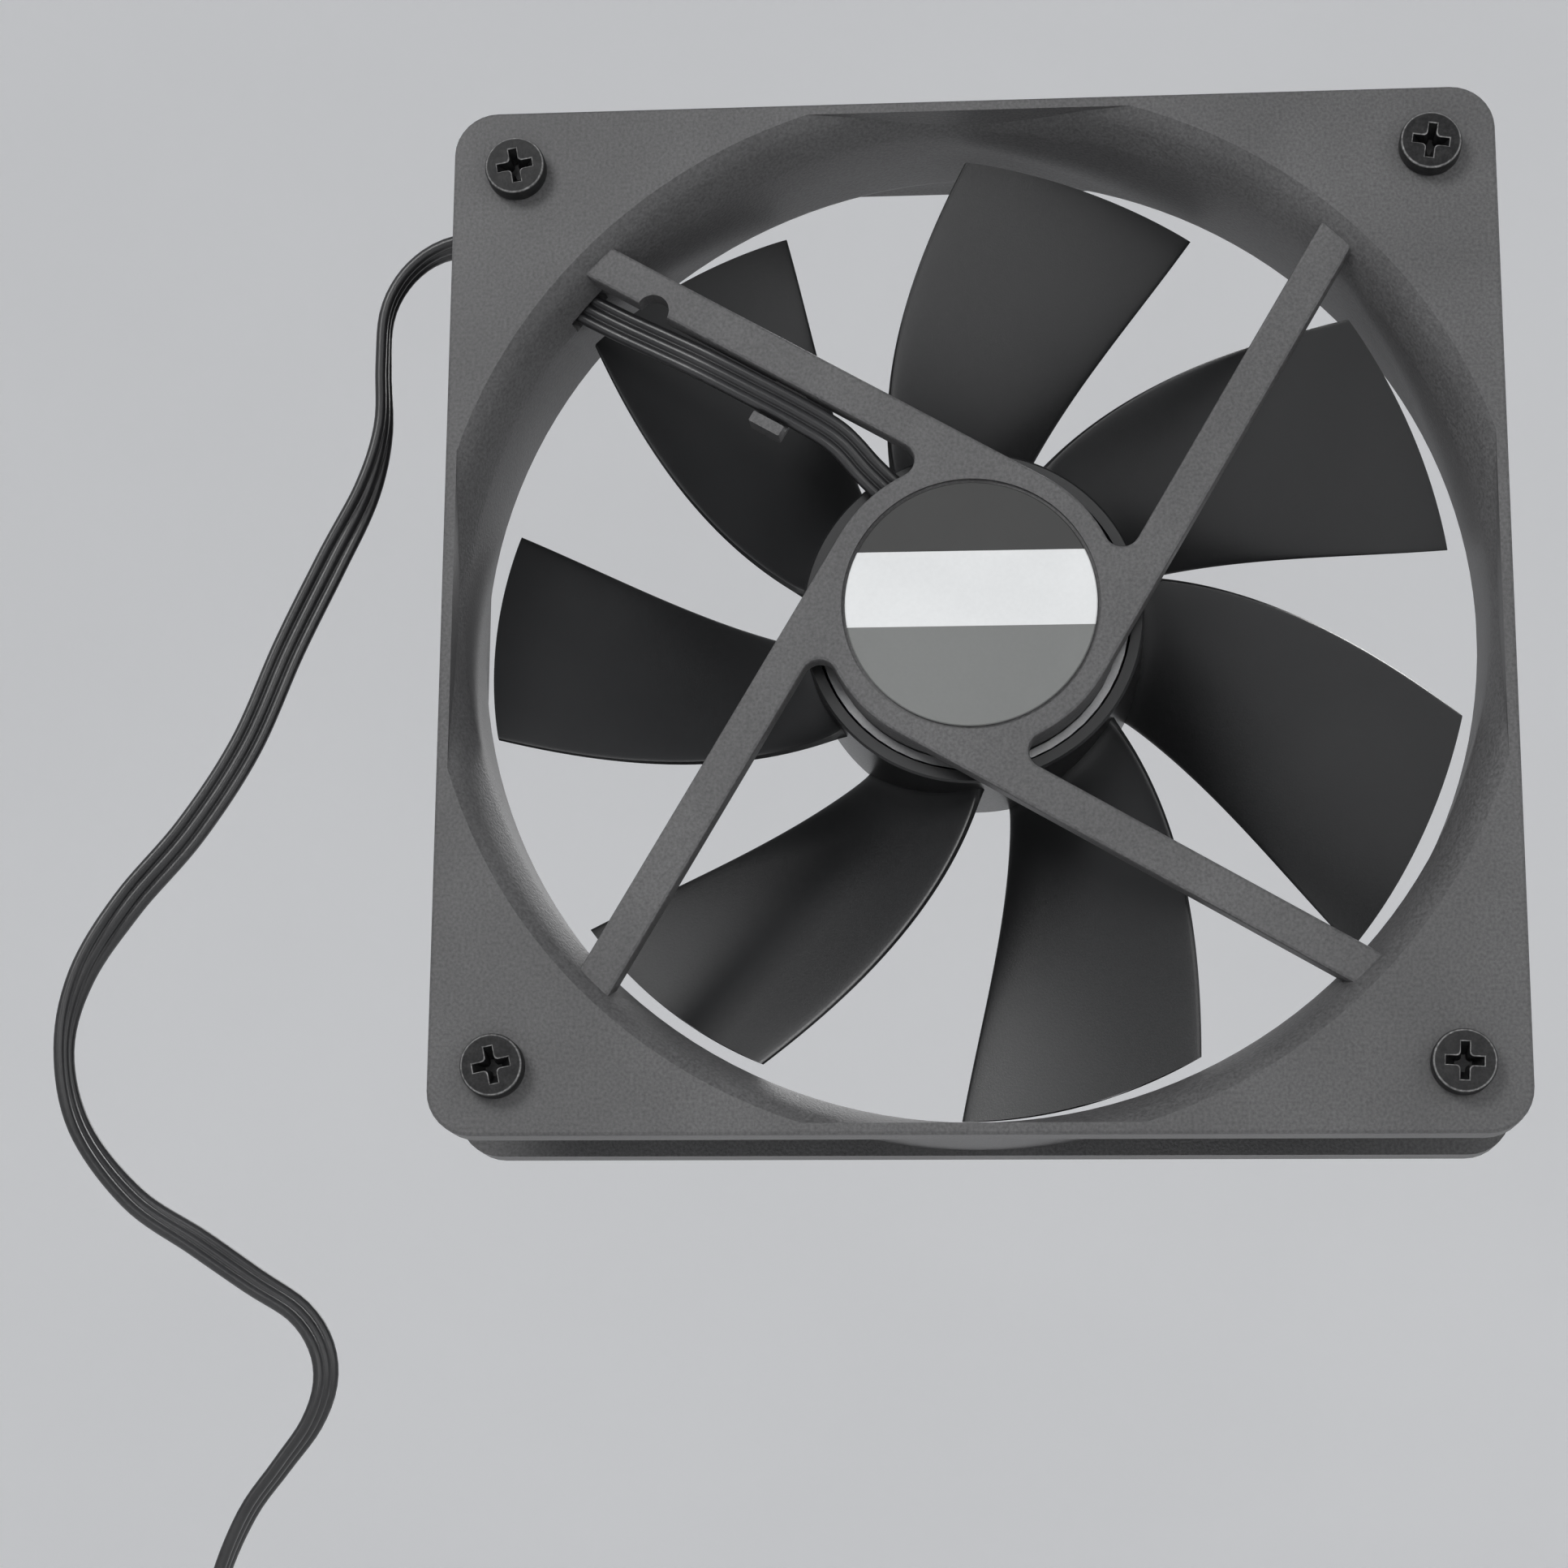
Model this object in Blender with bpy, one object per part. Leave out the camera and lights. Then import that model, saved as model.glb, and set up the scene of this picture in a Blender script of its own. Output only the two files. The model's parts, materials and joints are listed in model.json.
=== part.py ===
"""A 120 mm case fan, built from the pieces that it comes apart into.

The rotor turns about Y. The exhaust face, with the struts, lies at Y = 0 and looks along -Y.
The intake face lies at Y = FRAME_DEPTH. X is to the right and Z is up. Lengths are in metres.
"""

import math

import bmesh
import bpy
from mathutils import Matrix, Vector

MM = 0.001

# Clearances
SEAT_GAP = 0.3 * MM
RUNNING_GAP = 0.15 * MM
LABEL_GAP = 0.1 * MM

# Frame
FRAME_SIDE = 120.0 * MM
FRAME_DEPTH = 25.0 * MM
CORNER_RADIUS = 5.0 * MM
FLANGE_THICKNESS = 4.5 * MM
BORE_EDGE = 2.0 * MM
RING_WALL = 1.4 * MM
SIDE_WALL = 1.3 * MM
FLARE_DEPTH = 6.0 * MM
FLARE_WIDTH = 3.6 * MM
HOLE_INSET = 7.5 * MM
HOLE_RADIUS = 2.15 * MM

# Hub base and struts
HUB_RADIUS = 17.0 * MM
STRUT_COUNT = 4
STRUT_ANGLE = math.radians(60.0)
STRUT_WIDTH = 4.4 * MM
STRUT_FRONT = 1.5 * MM
STRUT_DEPTH = 2.8 * MM
STRUT_FILLET = 2.0 * MM
STRUT_ROOT = 5.5 * MM
BASE_FLOOR = 1.8 * MM
BASE_RIM_TOP = 6.2 * MM
BASE_RIM_WALL = 1.4 * MM
LABEL_BORDER = 2.4 * MM
LABEL_RECESS_DEPTH = 0.5 * MM
LABEL_SIDE_GAP = 0.4 * MM
LABEL_THICKNESS = 0.3 * MM

# Impeller
BLADE_COUNT = 7
TIP_GAP = 1.8 * MM
ROTOR_HUB_RADIUS = 19.5 * MM
ROTOR_HUB_WALL = 1.4 * MM
ROTOR_CAP = 1.6 * MM
ROTOR_TOP_RECESS = 0.6 * MM
ROTOR_BASE_GAP = 0.8 * MM
ROTOR_EDGE_ROUND = 1.6 * MM
BLADE_ROOT_THICKNESS = 2.0 * MM
BLADE_TIP_THICKNESS = 1.3 * MM
BLADE_EMBED = 0.8 * MM
BLADE_TRAIL_ROOT_INSET = 3.4 * MM
BLADE_TRAIL_TIP_INSET = 2.6 * MM
BLADE_LEAD_ROOT_INSET = 2.0 * MM
BLADE_LEAD_TIP_INSET = 4.6 * MM
BLADE_CHORD_ROOT = math.radians(42.0)
BLADE_CHORD_TIP = math.radians(28.2)
BLADE_SWEEP = math.radians(35.4)
BLADE_SWEEP_EASE = math.radians(8.0)
BLADE_CAMBER = 0.30
BLADE_START = math.radians(15.2)

# Shaft and bearing
SHAFT_RADIUS = 1.5 * MM
SHAFT_GROOVE = 0.4 * MM
BEARING_WALL = 2.0 * MM
TUBE_WALL = 1.0 * MM
TUBE_BOSS_GAP = 0.3 * MM
BEARING_SINK = 0.8 * MM
BEARING_CLIP_GAP = 0.5 * MM
CAP_THICKNESS = 0.8 * MM
CLIP_RADIUS = 2.8 * MM
CLIP_THICKNESS = 0.5 * MM
CLIP_SLOT = 0.5 * MM
SLINGER_RADIUS = 3.2 * MM
SLINGER_THICKNESS = 0.3 * MM
BOSS_RADIUS = 3.6 * MM
BOSS_HEIGHT = 4.3 * MM

# Motor
YOKE_WALL = 0.9 * MM
YOKE_INSET = 0.6 * MM
MAGNET_WALL = 2.2 * MM
MAGNET_INSET = 0.6 * MM
MAGNET_HEADROOM = 2.1 * MM
AIR_GAP = 0.5 * MM
POLE_COUNT = 4
CORE_INSET = 2.5 * MM
CORE_HEADROOM = 5.1 * MM
CORE_COLLAR = 1.9 * MM
TOOTH_WIDTH = 4.0 * MM
SHOE_DEPTH = 1.6 * MM
SHOE_HALF_ANGLE = math.radians(35.0)
INSULATOR_THICKNESS = 0.8 * MM
INSULATOR_LIP = 0.5 * MM
WINDING_WALL = 1.5 * MM
WINDING_COLLAR_GAP = 1.05 * MM
WINDING_SHOE_GAP = 1.1 * MM
WINDING_ROUND = 1.0 * MM

# Circuit board
BOARD_SIDE_GAP = 0.4 * MM
BOARD_THICKNESS = 0.8 * MM
CHIP_SIZE = (4.0 * MM, 3.0 * MM, 1.1 * MM)
CAPACITOR_SIZE = (2.0 * MM, 1.25 * MM, 1.0 * MM)
RESISTOR_SIZE = (1.6 * MM, 0.8 * MM, 0.5 * MM)
CHIP_PLACE = (11.5 * MM, math.radians(-45.0))
CAPACITOR_PLACE = (11.0 * MM, math.radians(45.0))
RESISTOR_PLACE = (11.0 * MM, math.radians(-135.0))

# Screws
HEAD_RADIUS = 3.5 * MM
HEAD_HEIGHT = 2.0 * MM
HEAD_BEVEL = 0.45 * MM
SHANK_CLEARANCE = 0.35 * MM
SHANK_LENGTH = 10.0 * MM
TIP_LENGTH = 2.0 * MM
CROSS_SPAN = 4.3 * MM
CROSS_WIDTH = 1.0 * MM
CROSS_DEPTH = 1.2 * MM
CROSS_TURNS = {
    "screw_top_left": math.radians(10.0),
    "screw_top_right": math.radians(22.0),
    "screw_bottom_left": math.radians(-14.0),
    "screw_bottom_right": math.radians(6.0),
}

# Lead: three round wires fused side by side
WIRE_RADIUS = 0.65 * MM
WIRE_PITCH = 1.3 * MM
WIRE_COUNT = 3
LEAD_SIDE_GAP = 0.45 * MM
LEAD_STEP = 8.0 * MM
RIM_NOTCH_HEIGHT = 1.9 * MM
LEAD_SLOT_SLACK = 0.8 * MM
HOOK_PLACE = 31.0 * MM
HOOK_LENGTH = 4.0 * MM
HOOK_PLATE = 0.9 * MM
HOOK_LIP = 1.3 * MM
STRUT_NOTCH_PLACE = 49.5 * MM
STRUT_NOTCH_RADIUS = 1.9 * MM

# The lead's coil, its tie and the connector on its end
COIL_RADIUS = 20.6 * MM
COIL_PITCH = 2.0 * MM
COIL_TURNS = 1.5
COIL_STEPS = 24
COIL_DROP = 27.0 * MM
COIL_TAIL = 4.0 * MM
TIE_WALL = 0.8 * MM
TIE_WIDTH = 3.0 * MM
TIE_SHARE = 0.125
PLUG_WIDTH = 7.7 * MM
PLUG_DEPTH = 5.8 * MM
PLUG_LENGTH = 12.6 * MM
PLUG_PITCH = 2.54 * MM
PLUG_CAVITY = 1.9 * MM
PLUG_RIB = 0.8 * MM
PLUG_RIB_WIDTH = 1.0 * MM
TERMINAL_LENGTH = 10.0 * MM
TERMINAL_WALL = 0.35 * MM
TERMINAL_GAP = 0.2 * MM

# Facets
BORE_STEPS = 72
HUB_STEPS = 84
ROUND_STEPS = 48
SMALL_STEPS = 24
SHARP_ANGLE = math.radians(32.0)

# Places across the face, tied to the frame's side and the hub
BORE_RADIUS = FRAME_SIDE / 2.0 - BORE_EDGE
HOLE_SPACING = FRAME_SIDE - 2.0 * HOLE_INSET
STRUT_REACH = BORE_RADIUS + STRUT_ROOT
LABEL_RECESS_RADIUS = HUB_RADIUS - LABEL_BORDER
LABEL_RADIUS = LABEL_RECESS_RADIUS - LABEL_SIDE_GAP

# Levels along Y that pieces share
SPIDER_BACK = STRUT_FRONT + STRUT_DEPTH
BASE_FLOOR_TOP = STRUT_FRONT + BASE_FLOOR
BASE_INNER_RADIUS = HUB_RADIUS - BASE_RIM_WALL
LABEL_FLOOR = STRUT_FRONT + LABEL_RECESS_DEPTH
ROTOR_BOTTOM = BASE_RIM_TOP + ROTOR_BASE_GAP
ROTOR_TOP = FRAME_DEPTH - ROTOR_TOP_RECESS
ROTOR_CEILING = ROTOR_TOP - ROTOR_CAP
BLADE_TRAIL_ROOT = ROTOR_BOTTOM + BLADE_TRAIL_ROOT_INSET
BLADE_TRAIL_TIP = ROTOR_BOTTOM + BLADE_TRAIL_TIP_INSET
BLADE_LEAD_ROOT = FRAME_DEPTH - BLADE_LEAD_ROOT_INSET
BLADE_LEAD_TIP = FRAME_DEPTH - BLADE_LEAD_TIP_INSET
BLADE_TIP_RADIUS = BORE_RADIUS - TIP_GAP
RING_OUTER = BORE_RADIUS + RING_WALL

# Radii from the shaft outwards, and from the rotor wall inwards
BEARING_BORE = SHAFT_RADIUS + RUNNING_GAP
BEARING_RADIUS = BEARING_BORE + BEARING_WALL
TUBE_INNER = BEARING_RADIUS + SEAT_GAP
TUBE_OUTER = TUBE_INNER + TUBE_WALL
CORE_INNER = TUBE_OUTER + SEAT_GAP
YOKE_OUTER = ROTOR_HUB_RADIUS - ROTOR_HUB_WALL - SEAT_GAP
YOKE_TOP = ROTOR_CEILING - SEAT_GAP
YOKE_BOTTOM = ROTOR_BOTTOM + YOKE_INSET
MAGNET_BOTTOM = YOKE_BOTTOM + MAGNET_INSET
MAGNET_TOP = YOKE_TOP - YOKE_WALL - MAGNET_HEADROOM
CORE_BOTTOM = ROTOR_BOTTOM + CORE_INSET
CORE_TOP = YOKE_TOP - YOKE_WALL - CORE_HEADROOM
MAGNET_OUTER = YOKE_OUTER - YOKE_WALL - SEAT_GAP
MAGNET_INNER = MAGNET_OUTER - MAGNET_WALL
CORE_OUTER = MAGNET_INNER - AIR_GAP
WINDING_INNER = CORE_INNER + CORE_COLLAR + WINDING_COLLAR_GAP
WINDING_OUTER = CORE_OUTER - SHOE_DEPTH - WINDING_SHOE_GAP
TUBE_BOTTOM = LABEL_FLOOR + SEAT_GAP
CAP_TOP = TUBE_BOTTOM + CAP_THICKNESS
SHAFT_BOTTOM = CAP_TOP + SEAT_GAP
CLIP_BOTTOM = SHAFT_BOTTOM + 2.0 * SEAT_GAP
BOSS_BOTTOM = ROTOR_CEILING - BOSS_HEIGHT
TUBE_TOP = BOSS_BOTTOM - TUBE_BOSS_GAP
BEARING_TOP = TUBE_TOP - BEARING_SINK
BEARING_BOTTOM = CLIP_BOTTOM + CLIP_THICKNESS + BEARING_CLIP_GAP
BOARD_RADIUS = BASE_INNER_RADIUS - BOARD_SIDE_GAP
BOARD_BOTTOM = BASE_FLOOR_TOP + SEAT_GAP
BOARD_TOP = BOARD_BOTTOM + BOARD_THICKNESS
INSULATOR_BASE = CORE_BOTTOM - SEAT_GAP - INSULATOR_THICKNESS
INSULATOR_CROWN = CORE_TOP + SEAT_GAP + INSULATOR_THICKNESS

# The strut that carries the lead, and the lead's place beside it
LEAD_STRUT = 1
LEAD_HALF_WIDTH = WIRE_PITCH * (WIRE_COUNT - 1) / 2.0 + WIRE_RADIUS
STRUT_INNER = HUB_RADIUS - STRUT_WIDTH
LEAD_OFFSET = STRUT_INNER - LEAD_SIDE_GAP - LEAD_HALF_WIDTH

# Routes, set by eye, with no bend under two widths of the lead.
# Inner run: distance along the strut, offset from the axis, depth, roll.
# A roll of 90 degrees shows the flat of the lead to the exhaust side, and 0 shows its edge.
INNER_ROUTE = [
    (11.0 * MM, 8.0 * MM, 5.4 * MM, 90.0),
    (14.5 * MM, 7.8 * MM, 5.3 * MM, 90.0),
    (18.5 * MM, 8.6 * MM, 4.4 * MM, 90.0),
    (23.0 * MM, LEAD_OFFSET - 0.3 * MM, 3.1 * MM, 90.0),
    (28.0 * MM, LEAD_OFFSET, 2.7 * MM, 90.0),
    (36.0 * MM, LEAD_OFFSET, 2.7 * MM, 90.0),
    (42.0 * MM, LEAD_OFFSET, 3.1 * MM, 90.0),
    (47.0 * MM, LEAD_OFFSET, 4.1 * MM, 90.0),
    (52.0 * MM, LEAD_OFFSET, 5.2 * MM, 90.0),
    (56.0 * MM, LEAD_OFFSET, 5.7 * MM, 90.0),
    (59.0 * MM, LEAD_OFFSET, 5.8 * MM, 90.0),
    (61.6 * MM, LEAD_OFFSET, 5.8 * MM, 90.0),
]
# Free run: X, Y, Z and roll, from the corner of the frame down to the coil.
FREE_ROUTE = [
    (-48.86 * MM, 5.9 * MM, 39.91 * MM, 90.0),
    (-50.84 * MM, 6.41 * MM, 41.69 * MM, 84.0),
    (-53.28 * MM, 7.33 * MM, 44.14 * MM, 66.0),
    (-56.76 * MM, 8.62 * MM, 46.46 * MM, 38.0),
    (-60.88 * MM, 9.68 * MM, 47.31 * MM, 14.0),
    (-64.76 * MM, 10.5 * MM, 46.3 * MM, 3.0),
    (-67.99 * MM, 11.13 * MM, 43.49 * MM, 0.0),
    (-69.83 * MM, 11.4 * MM, 39.22 * MM, 0.0),
    (-70.05 * MM, 11.71 * MM, 32.94 * MM, 4.0),
    (-69.9 * MM, 12.0 * MM, 25.4 * MM, 12.0),
    (-71.6 * MM, 12.0 * MM, 17.8 * MM, 34.0),
    (-75.6 * MM, 12.0 * MM, 9.0 * MM, 66.0),
    (-80.2 * MM, 12.0 * MM, -1.2 * MM, 80.0),
    (-84.9 * MM, 12.0 * MM, -13.0 * MM, 82.0),
    (-91.0 * MM, 12.0 * MM, -23.0 * MM, 76.0),
    (-98.0 * MM, 12.0 * MM, -31.6 * MM, 58.0),
    (-103.0 * MM, 12.0 * MM, -40.0 * MM, 28.0),
    (-104.6 * MM, 12.0 * MM, -48.6 * MM, 8.0),
    (-102.2 * MM, 12.0 * MM, -57.6 * MM, 20.0),
    (-95.6 * MM, 12.0 * MM, -65.6 * MM, 36.0),
    (-87.8 * MM, 12.0 * MM, -70.61 * MM, 46.0),
    (-81.23 * MM, 12.0 * MM, -74.93 * MM, 44.0),
    (-76.0 * MM, 12.0 * MM, -78.25 * MM, 38.0),
    (-73.32 * MM, 12.0 * MM, -82.1 * MM, 30.0),
    (-72.71 * MM, 12.0 * MM, -86.29 * MM, 22.0),
    (-74.12 * MM, 12.0 * MM, -90.71 * MM, 16.0),
    (-77.32 * MM, 12.0 * MM, -95.29 * MM, 11.0),
    (-81.0 * MM, 12.0 * MM, -100.6 * MM, 8.0),
    (-83.9 * MM, 12.0 * MM, -108.2 * MM, 2.0),
    (-85.0 * MM, 12.0 * MM, -117.0 * MM, 0.0),
]


def clear_scene():
    """Remove every object of the open scene."""
    for item in list(bpy.data.objects):
        bpy.data.objects.remove(item, do_unlink=True)


def finish(name, colour, roughness, metallic=0.0):
    """Make one Principled material."""
    material = bpy.data.materials.new(name)
    material.use_nodes = True
    shader = material.node_tree.nodes["Principled BSDF"]
    shader.inputs["Base Color"].default_value = (*colour, 1.0)
    shader.inputs["Roughness"].default_value = roughness
    shader.inputs["Metallic"].default_value = metallic
    return material


def make_object(name, shape, material=None):
    """Turn a bmesh into a named object of the scene, with smooth rounds and sharp edges."""
    bmesh.ops.recalc_face_normals(shape, faces=shape.faces)
    mesh = bpy.data.meshes.new(name)
    shape.to_mesh(mesh)
    shape.free()
    if material is not None:
        mesh.materials.append(material)
    item = bpy.data.objects.new(name, mesh)
    bpy.context.scene.collection.objects.link(item)
    soften(item)
    return item


def soften(item):
    """Shade a piece smooth, apart from its sharp edges."""
    item.data.shade_smooth()
    item.data.set_sharp_from_angle(angle=SHARP_ANGLE)


def cut_or_join(base, tool, operation):
    """Apply one exact Boolean to a piece and remove the tool."""
    modifier = base.modifiers.new(operation, "BOOLEAN")
    modifier.operation = operation
    modifier.solver = "EXACT"
    modifier.object = tool
    bpy.context.view_layer.update()
    graph = bpy.context.evaluated_depsgraph_get()
    result = bpy.data.meshes.new_from_object(base.evaluated_get(graph))
    base.modifiers.remove(modifier)
    base.data = result
    bpy.data.objects.remove(tool, do_unlink=True)
    soften(base)
    return base


def cut(base, tool):
    """Take the tool's shape out of a piece."""
    return cut_or_join(base, tool, "DIFFERENCE")


def join(base, tool):
    """Fuse the tool's shape to a piece."""
    return cut_or_join(base, tool, "UNION")


def circle_arc(centre, radius, start, end, steps):
    """Return steps + 1 points of an arc in the XZ plane."""
    points = []
    for index in range(steps + 1):
        angle = start + (end - start) * index / steps
        points.append((centre[0] + radius * math.cos(angle), centre[1] + radius * math.sin(angle)))
    return points


def circle(radius, steps):
    """Return the points of a full circle in the XZ plane."""
    return circle_arc((0.0, 0.0), radius, 0.0, 2.0 * math.pi, steps)[:-1]


def rounded_rectangle(width, height, radius, steps=4):
    """Return a rectangle with round corners, centred in the XZ plane."""
    points = []
    for corner, (sign_x, sign_z) in enumerate([(1, 1), (-1, 1), (-1, -1), (1, -1)]):
        centre = (sign_x * (width / 2.0 - radius), sign_z * (height / 2.0 - radius))
        start = corner * math.pi / 2.0
        points += circle_arc(centre, radius, start, start + math.pi / 2.0, steps)
    return points


def prism(outline, bottom, top):
    """Extrude a closed XZ outline along Y."""
    shape = bmesh.new()
    face = shape.faces.new([shape.verts.new((x, bottom, z)) for x, z in outline])
    grown = bmesh.ops.extrude_face_region(shape, geom=[face])
    moved = [part for part in grown["geom"] if isinstance(part, bmesh.types.BMVert)]
    bmesh.ops.translate(shape, verts=moved, vec=(0.0, top - bottom, 0.0))
    return shape


def sleeve(outer, inner, bottom, top):
    """Extrude the band between two outlines of equal count along Y."""
    shape = bmesh.new()
    rings = []
    for outline, level in ((outer, bottom), (outer, top), (inner, top), (inner, bottom)):
        rings.append([shape.verts.new((x, level, z)) for x, z in outline])
    stitch(shape, rings, closed=True)
    return shape


def stitch(shape, rings, closed=False):
    """Join neighbouring rings of equal count with quads."""
    count = len(rings[0])
    pairs = list(zip(rings, rings[1:]))
    if closed:
        pairs.append((rings[-1], rings[0]))
    for first, second in pairs:
        for index in range(count):
            after = (index + 1) % count
            shape.faces.new((first[index], first[after], second[after], second[index]))


def revolve(profile, steps):
    """Turn a closed profile of (radius, y) points about the Y axis."""
    shape = bmesh.new()
    points = [shape.verts.new((radius, level, 0.0)) for radius, level in profile]
    edges = [shape.edges.new((points[i], points[i - 1])) for i in range(len(points))]
    bmesh.ops.spin(
        shape,
        geom=points + edges,
        cent=(0.0, 0.0, 0.0),
        axis=(0.0, 1.0, 0.0),
        angle=2.0 * math.pi,
        steps=steps,
        use_merge=True,
    )
    bmesh.ops.remove_doubles(shape, verts=shape.verts, dist=1e-7)
    for edge in [edge for edge in shape.edges if not edge.link_faces]:
        shape.edges.remove(edge)
    return shape


def disc(radius, bottom, top, steps, name="tool"):
    """Make a plain cylinder about the Y axis."""
    return make_object(name, prism(circle(radius, steps), bottom, top))


def turned(shape, matrix):
    """Move a bmesh by a matrix and hand it back."""
    bmesh.ops.transform(shape, matrix=matrix, verts=shape.verts)
    return shape


def about_axis(angle):
    """Rotation about the fan's axis, counted from +X towards +Z."""
    return Matrix.Rotation(-angle, 4, "Y")


def strut_frame(index):
    """Direction of one strut, and the direction from the axis to its outer edge."""
    angle = STRUT_ANGLE + index * 2.0 * math.pi / STRUT_COUNT
    along = Vector((math.cos(angle), math.sin(angle)))
    across = Vector((math.sin(angle), -math.cos(angle)))
    return along, across


def beside_lead_strut(distance, offset):
    """A point given along the strut that carries the lead and across from the axis."""
    along, across = strut_frame(LEAD_STRUT)
    return along * distance + across * offset


def spider_outline():
    """Outline of the hub base and its struts: each outer edge is a tangent of the hub."""
    points = []
    for index in range(STRUT_COUNT):
        along, across = strut_frame(index)
        outer_end = math.sqrt(STRUT_REACH**2 - HUB_RADIUS**2)
        inner_end = math.sqrt(STRUT_REACH**2 - STRUT_INNER**2)
        points.append(tuple(across * HUB_RADIUS))
        points.append(tuple(across * HUB_RADIUS + along * outer_end))
        points.append(tuple(across * STRUT_INNER + along * inner_end))
        offset = STRUT_INNER - STRUT_FILLET
        run = math.sqrt((HUB_RADIUS + STRUT_FILLET) ** 2 - offset**2)
        centre = across * offset + along * run
        edge_angle = math.atan2(across.y, across.x)
        hub_angle = math.atan2(-centre.y, -centre.x)
        turn = (edge_angle - hub_angle) % (2.0 * math.pi)
        points += circle_arc(centre, STRUT_FILLET, edge_angle, edge_angle - turn, 5)
        start = math.atan2(centre.y, centre.x)
        end = edge_angle + 2.0 * math.pi / STRUT_COUNT
        sweep = (end - start) % (2.0 * math.pi)
        points += circle_arc((0.0, 0.0), HUB_RADIUS, start, start + sweep, 5)[1:-1]
    return points


def flare_tool(face, inward):
    """Cone that opens the bore towards one face, kept inside the side walls."""
    overrun = 1.1
    small_radius = BORE_RADIUS - FLARE_WIDTH * (overrun - 1.0)
    small = (small_radius, face + inward * FLARE_DEPTH * overrun)
    large = (BORE_RADIUS + FLARE_WIDTH, face)
    lift = (BORE_RADIUS + FLARE_WIDTH, face - inward * FLARE_WIDTH)
    profile = [(0.0, small[1]), small, large, lift, (0.0, lift[1])]
    cone = make_object("tool", revolve(profile, BORE_STEPS))
    inner = FRAME_SIDE - 2.0 * SIDE_WALL
    levels = sorted((small[1], lift[1]))
    block = rounded_rectangle(inner, inner, CORNER_RADIUS)
    square = make_object("tool", prism(block, levels[0] - FLARE_WIDTH, levels[1] + FLARE_WIDTH))
    return cut_or_join(cone, square, "INTERSECT")


def pocket_tool():
    """The open space between the two flanges, outside the ring."""
    wide = FRAME_SIDE + FLANGE_THICKNESS
    outline = rounded_rectangle(wide, wide, CORNER_RADIUS)
    block = make_object("tool", prism(outline, FLANGE_THICKNESS, FRAME_DEPTH - FLANGE_THICKNESS))
    core = disc(RING_OUTER, 0.0, FRAME_DEPTH, BORE_STEPS)
    return cut(block, core)


def screw_places():
    """Centres of the four mounting holes, by the names of their screws."""
    half = HOLE_SPACING / 2.0
    return {
        "screw_top_left": (-half, half),
        "screw_top_right": (half, half),
        "screw_bottom_left": (-half, -half),
        "screw_bottom_right": (half, -half),
    }


def box_along_lead(distance, offset, length, width, bottom, top):
    """Block set square to the strut that carries the lead."""
    place = beside_lead_strut(distance, offset)
    along, _ = strut_frame(LEAD_STRUT)
    outline = rounded_rectangle(length, width, min(length, width) / 8.0, 2)
    turn = about_axis(math.atan2(along.y, along.x))
    shift = Matrix.Translation((place.x, 0.0, place.y))
    return make_object("tool", turned(prism(outline, bottom, top), shift @ turn))


def lead_hook(frame):
    """Hook on the strut: a plate behind the lead and a lip that keeps it in."""
    reach = LEAD_SIDE_GAP + 2.0 * LEAD_HALF_WIDTH + LEAD_SIDE_GAP + HOOK_LIP
    plate_place = STRUT_INNER - reach / 2.0 + HOOK_LIP / 2.0
    plate_back = SPIDER_BACK
    plate_front = plate_back - HOOK_PLATE
    plate = box_along_lead(
        HOOK_PLACE, plate_place, HOOK_LENGTH, reach + HOOK_LIP, plate_front, plate_back
    )
    lip_place = STRUT_INNER - reach + HOOK_LIP / 2.0
    lip = box_along_lead(HOOK_PLACE, lip_place, HOOK_LENGTH, HOOK_LIP, STRUT_FRONT, plate_back)
    join(frame, plate)
    join(frame, lip)


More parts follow.
